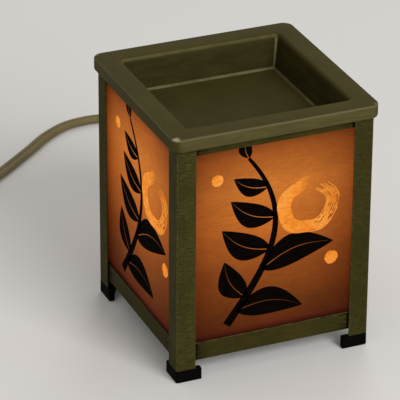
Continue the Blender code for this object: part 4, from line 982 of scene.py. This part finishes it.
def make_plug(start, heading, material):
    """The moulded plug: a ribbed relief, a body that flares to its face, grips, and slots for the blades."""
    place = laid_along(start, heading, CLEARANCE)
    long = PLUG_RELIEF + PLUG_LENGTH
    stations = [(0.0, 0.0046, 0.0025, 2.4)]
    for i in range(1, 25):
        share = i / 25
        rib = 0.0006 * (0.5 + 0.5 * cos(2 * pi * share * 4))
        wide, high = 0.0047 + 0.0022 * share - rib, 0.0027 + 0.0013 * share - rib
        stations.append((PLUG_RELIEF * share, wide, high, 2.6))
    stations += [(PLUG_RELIEF + x, wide, high, 4.5) for x, wide, high in PLUG_BODY]
    for k in range(1, 5):
        angle = pi / 2 * k / 4
        x = long - PLUG_FACE_ROUND + PLUG_FACE_ROUND * sin(angle)
        pull = PLUG_FACE_ROUND * (1 - cos(angle))
        stations.append((x, PLUG_HALF_WIDE - pull, PLUG_THICK / 2 - pull, 4.5))
    rings = [[Vector((x, y, z)) for y, z in oval(*section, 44)] for x, *section in stations]
    plug = lofted("plug_moulded", rings)
    plug.data.transform(place)
    tools = []
    for side, width in ((-1, 0.0079), (1, 0.0063)):
        y, half = side * BLADE_HALF_GAP, width / 2 + 0.0003
        corner = (long - 0.0043, y - BLADE_HALF_THICK, -half)
        tools.append(cutter(corner, (long + 0.002, y + BLADE_HALF_THICK, half), place))
    for side in (-1, 1):
        for k in range(4):
            x, z = PLUG_RELIEF + 0.0050 + 0.0026 * k, side * 0.00665
            tools.append(cutter((x, -0.0042, z - 0.0007), (x + 0.0011, 0.0042, z + 0.0007), place))
    cut(plug, tools)
    return dress(plug, material, ["plug_body"])


def make_cords(material, plug_paint):
    section = lead_section()
    to_switch = smooth(LEAD_TO_SWITCH, LEAD_STEP)
    coil = coil_path()
    heading = (coil[1] - coil[0]).normalized()
    tail = tail_path(coil)
    away = smooth([*LEAD_TO_COIL, coil[0] - heading * LEAD_SQUARE, *coil, *tail[1:]], LEAD_STEP)
    first = lead_curve("lead_first", to_switch, section)
    second = lead_curve("lead_second", away, section)
    dress(first, material, ["lead_to_switch"])
    dress(second, material, ["lead_to_coil", "lead_coil", "lead_tail"])
    plug = make_plug(tail[-1], tail[-1] - tail[-2], plug_paint)


def flat_face(bm, corners):
    """A face of a print, from points in U (across) and V (up) on a side of the lantern."""
    bm.faces.new([bm.verts.new((c.x, 0, c.y)) for c in corners])


def leaf(bm, base, angle, length, width):
    """A pointed leaf in two halves with a thin gap for its rib."""
    ahead = Vector((cos(angle), sin(angle)))
    side = Vector((-ahead.y, ahead.x))
    steps = 14
    for sign in (-1, 1):
        spine, edge = [], []
        for t in shares(steps):
            bow = length * sin(pi * t) * 0.12
            gap = 0.00032 * (1 - t) if 0.06 < t else 0.0
            swell = width / 2 * sin(pi * t ** 0.82) ** 0.9 if 0 < t < 1 else 0.0
            middle = base + ahead * length * t + side * bow
            spine.append(middle + side * sign * gap)
            edge.append(middle + side * sign * max(swell, gap))
        for i in range(steps):
            corners = [spine[i], edge[i], edge[i + 1], spine[i + 1]]
            distinct = [c for k, c in enumerate(corners) if (c - corners[k - 1]).length > 1e-7]
            if len(distinct) > 2:
                flat_face(bm, distinct)


def stem(bm, points, widths):
    """A tapering line through points."""
    rows = []
    for i, p in enumerate(points):
        ahead = (points[min(i + 1, len(points) - 1)] - points[max(i - 1, 0)]).normalized()
        side = Vector((-ahead.y, ahead.x))
        rows.append((p - side * widths[i] / 2, p + side * widths[i] / 2))
    for a, b in zip(rows, rows[1:]):
        flat_face(bm, (a[0], a[1], b[1], b[0]))


# The sprig's leaves: where on the stem, direction in degrees, length and width
LEAVES = [
    (2, -6, 0.0400, 0.0170), (4, 118, 0.0270, 0.0150), (8, 12, 0.0440, 0.0185), (11, 150, 0.0330, 0.0160),
    (16, 152, 0.0300, 0.0145), (21, 158, 0.0220, 0.0110), (26, 96, 0.0130, 0.0078),
]


def sprig_mesh():
    """The black design: a broad sprig of pointed leaves that rises from the lower left."""
    bm = bmesh.new()
    line = []
    for t in shares(26):
        u = -0.0270 + 0.0420 * t + 0.0100 * sin(pi * t) - 0.0300 * t ** 3
        line.append(Vector((u, 0.0290 + 0.0990 * t)))
    stem(bm, line, [0.0052 - 0.0032 * t for t in shares(26)])
    for at, degrees, length, width in LEAVES:
        leaf(bm, line[at], radians(degrees), length, width)
    return bm


def brush_ring(bm):
    """The bright design: a broad dry-brush ring, open at one place, laid as many fine strands."""
    draw = random.Random(7)
    centre = Vector((0.0205, 0.0935))
    strands, steps, inner, outer = 13, 54, 0.0098, 0.0175
    for s in range(strands):
        share = (s + 0.5) / strands
        radius = inner + (outer - inner) * share
        half = (outer - inner) / strands * draw.uniform(0.44, 0.66)
        first = radians(112 - 26 * share + draw.uniform(-13, 9))
        last = first + radians(324 + draw.uniform(-26, 18))
        breaks = sorted(draw.uniform(0.62, 0.99) for _ in range(draw.choice((0, 1, 2))))
        row = None
        for t in shares(steps):
            a = first + (last - first) * t
            wob = 1 + 0.06 * sin(2.2 * a + 0.7) + 0.035 * sin(5.1 * a)
            broad = half * (1 - 0.55 * max(0.0, t - 0.6) / 0.4) * min(1.0, 0.25 + 6 * t)
            if any(abs(t - b) < 0.012 for b in breaks):
                row = None
                continue
            ray = Vector((cos(a), sin(a) * 1.04))
            ends = [centre + ray * (radius * wob + side * broad) for side in (-1, 1)]
            if row:
                flat_face(bm, (row[0], row[1], ends[1], ends[0]))
            row = ends


def brush_berry(bm, centre, radius, seed):
    """A round dab of the same brush."""
    draw = random.Random(seed)
    ring = []
    for k in range(28):
        a = 2 * pi * k / 28
        r = radius * (1 + draw.uniform(-0.06, 0.06))
        ring.append(bm.verts.new((centre[0] + r * cos(a), 0, centre[1] + r * sin(a))))
    bm.faces.new(ring)


def brush_mesh():
    bm = bmesh.new()
    brush_ring(bm)
    brush_berry(bm, (-0.0330, 0.1180), 0.0034, 3)
    brush_berry(bm, (0.0350, 0.0585), 0.0040, 5)
    return bm


def make_prints(ink, bright):
    for side, degrees in SIDES:
        for layer, name, design, paint in (
            (1, "print_sprig", sprig_mesh, ink), (2, "print_brush", brush_mesh, bright),
        ):
            bm = design()
            place = turn(degrees) @ Matrix.Translation((0, -(PANE_FACE + PRINT_RISE * layer), 0))
            bmesh.ops.transform(bm, matrix=place, verts=bm.verts)
            bmesh.ops.remove_doubles(bm, verts=bm.verts, dist=1e-7)
            dress(from_bmesh(f"{name}_{side}", bm, False), paint)


def on_circle(radius, z, k, steps):
    angle = 2 * pi * k / steps
    return Vector((radius * cos(angle), radius * sin(angle), z))


def turned(name, profile, steps):
    """A turned piece about Z from (radius, height) points."""
    bm = bmesh.new()
    rows = []
    for radius, z in profile:
        count = steps if radius > 1e-7 else 1
        rows.append([bm.verts.new(on_circle(radius, z, k, steps)) for k in range(count)])
    for a, b in zip(rows, rows[1:]):
        for k in range(steps):
            j = (k + 1) % steps
            corners = [a[k % len(a)], a[j % len(a)], b[j % len(b)], b[k % len(b)]]
            distinct = list(dict.fromkeys(corners))
            if len(distinct) > 2:
                bm.faces.new(distinct)
    return from_bmesh(name, bm)


def make_bulb(glass, brass):
    """The lit globe on its neck, and its cap with a running thread."""
    low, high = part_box("bulb_glass")
    radius = (high.x - low.x) / 2
    centre = high.z - radius
    neck = 0.0070
    profile = [
        (0.0, high.z), *arc((0, centre), radius, 90, -55, 29)[1:], (neck + 0.0009, centre - radius * 0.915),
        (neck, centre - radius * 0.96), (neck, low.z), (0.0, low.z),
    ]
    dress(turned("bulb_envelope", profile, 48), glass, ["bulb_glass"], "bulb")

    low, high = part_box("bulb_cap")
    crest, depth, turns, foot, foot_rise = 0.0083, 0.0005, 4.5, 0.0055, 0.0026
    steps = 40
    rings = []
    for share in shares(96):
        z = high.z + (low.z + foot_rise - high.z) * share
        fade = min(1.0, share * 8, (1 - share) * 8)
        ring = []
        for k in range(steps):
            wave = 0.5 + 0.5 * cos(2 * pi * (share * turns - k / steps))
            ring.append(on_circle(crest - depth * (1 - wave * fade), z, k, steps))
        rings.append(ring)
    rings.append([on_circle(foot, low.z, k, steps) for k in range(steps)])
    dress(lofted("bulb_cap_threaded", rings), brass, ["bulb_cap"], "bulb")


def paint_nodes(paints):
    slots = {s["node"]: s["material_slot"] for s in frame["record"]["subparts"]}
    for name, node in NODES.items():
        if not node.hide_render:
            node.data.materials.clear()
            node.data.materials.append(paints[slots[name]])


def make_lamp(name, place, power):
    data = bpy.data.lights.new(name, "AREA")
    data.energy = power
    data.size = LAMP_SIZE
    data.spread = LAMP_SPREAD
    lamp = linked(name, data)
    lamp.location = place
    lamp.rotation_euler = (Vector(LAMP_AIM) - Vector(place)).to_track_quat("-Z", "Y").to_euler()
    return lamp


def make_studio():
    scene = bpy.context.scene
    scene.view_settings.view_transform = "Standard"
    scene.world = bpy.data.worlds.new("studio")
    sky = Nodes(scene.world, "Background")
    sky.set("Color", STUDIO_WHITE)
    sky.set("Strength", sky.span(sky.seen(), 0, 1, WORLD_LIGHT, WORLD_SEEN))
    p = Paint("floor_card", 0.9, 0.1)
    p.cover(FLOOR_DARK, (p.noise(3.0), FLOOR_LIGHT))
    reach = p.node("ShaderNodeVectorMath", {0: p.place}, operation="LENGTH").outputs["Value"]
    p.set("Emission Color", STUDIO_WHITE)
    p.set("Emission Strength", p.times(p.seen(), p.span(reach, *FLOOR_RISE, FLOOR_NEAR, FLOOR_FAR)))
    bm = bmesh.new()
    bmesh.ops.create_grid(bm, x_segments=8, y_segments=8, size=FLOOR_REACH)
    floor = from_bmesh("floor", bm)
    floor.location.z = -FLOOR_DROP
    floor.data.materials.append(p.material)
    make_lamp("key", *KEY_LAMP)
    make_lamp("back", *BACK_LAMP).visible_glossy = False


# Finishes by slot, but for the ivory ones: two colours, roughness, and what else their paint takes
PLASTICS = {
    "ivory_vinyl": ((0.152, 0.120, 0.046), (0.192, 0.152, 0.062), 0.42, 180, 0.00004, 0.2),
    "ivory_moulded": ((0.175, 0.140, 0.056), (0.220, 0.178, 0.076), 0.46, 240, 0.00008, 0.2),
    "foot_black": ((0.0010, 0.0009, 0.0008), (0.0030, 0.0026, 0.0022), 0.66, 300, 0.00010, 0.02),
    "holder_black": ((0.014, 0.013, 0.012), (0.024, 0.022, 0.020), 0.38),
    "wire_black": ((0.012, 0.012, 0.012), (0.020, 0.020, 0.020), 0.40),
    "wire_white": ((0.62, 0.62, 0.60), (0.70, 0.70, 0.68), 0.40),
}
METALS = {
    "brass_metal": ((0.72, 0.52, 0.25), (0.50, 0.35, 0.17), 0.30),
    "tray_steel": ((0.46, 0.46, 0.45), (0.34, 0.33, 0.31), 0.42, (1, 8, 1)),
    "zinc": ((0.62, 0.62, 0.60), (0.50, 0.50, 0.47), 0.32),
    "tungsten": ((0.36, 0.33, 0.30), (0.25, 0.22, 0.20), 0.45),
}


def main():
    make_camera()
    plastics = {name: paint_plastic(name, *values) for name, values in PLASTICS.items()}
    metals = {name: paint_metal(name, *values) for name, values in METALS.items()}
    moulded = plastics["ivory_moulded"]
    olive, glass, amber = paint_frame(), paint_bulb(), paint_pane()
    boot = make_boot(moulded)
    cases = make_switch(moulded)
    make_cords(plastics["ivory_vinyl"], moulded)
    make_posts(olive)
    make_rails(paint_rail())
    make_dish(paint_dish())
    make_feet(plastics["foot_black"])
    make_prints(paint_ink(), paint_brush())
    make_bulb(glass, metals["brass_metal"])
    paint_nodes({
        "frame_olive": olive, "pane_amber": amber, "bulb_glass": glass, "lead_ivory": moulded,
        **plastics, **metals,
    })
    make_studio()


main()
bpy.context.view_layer.update()
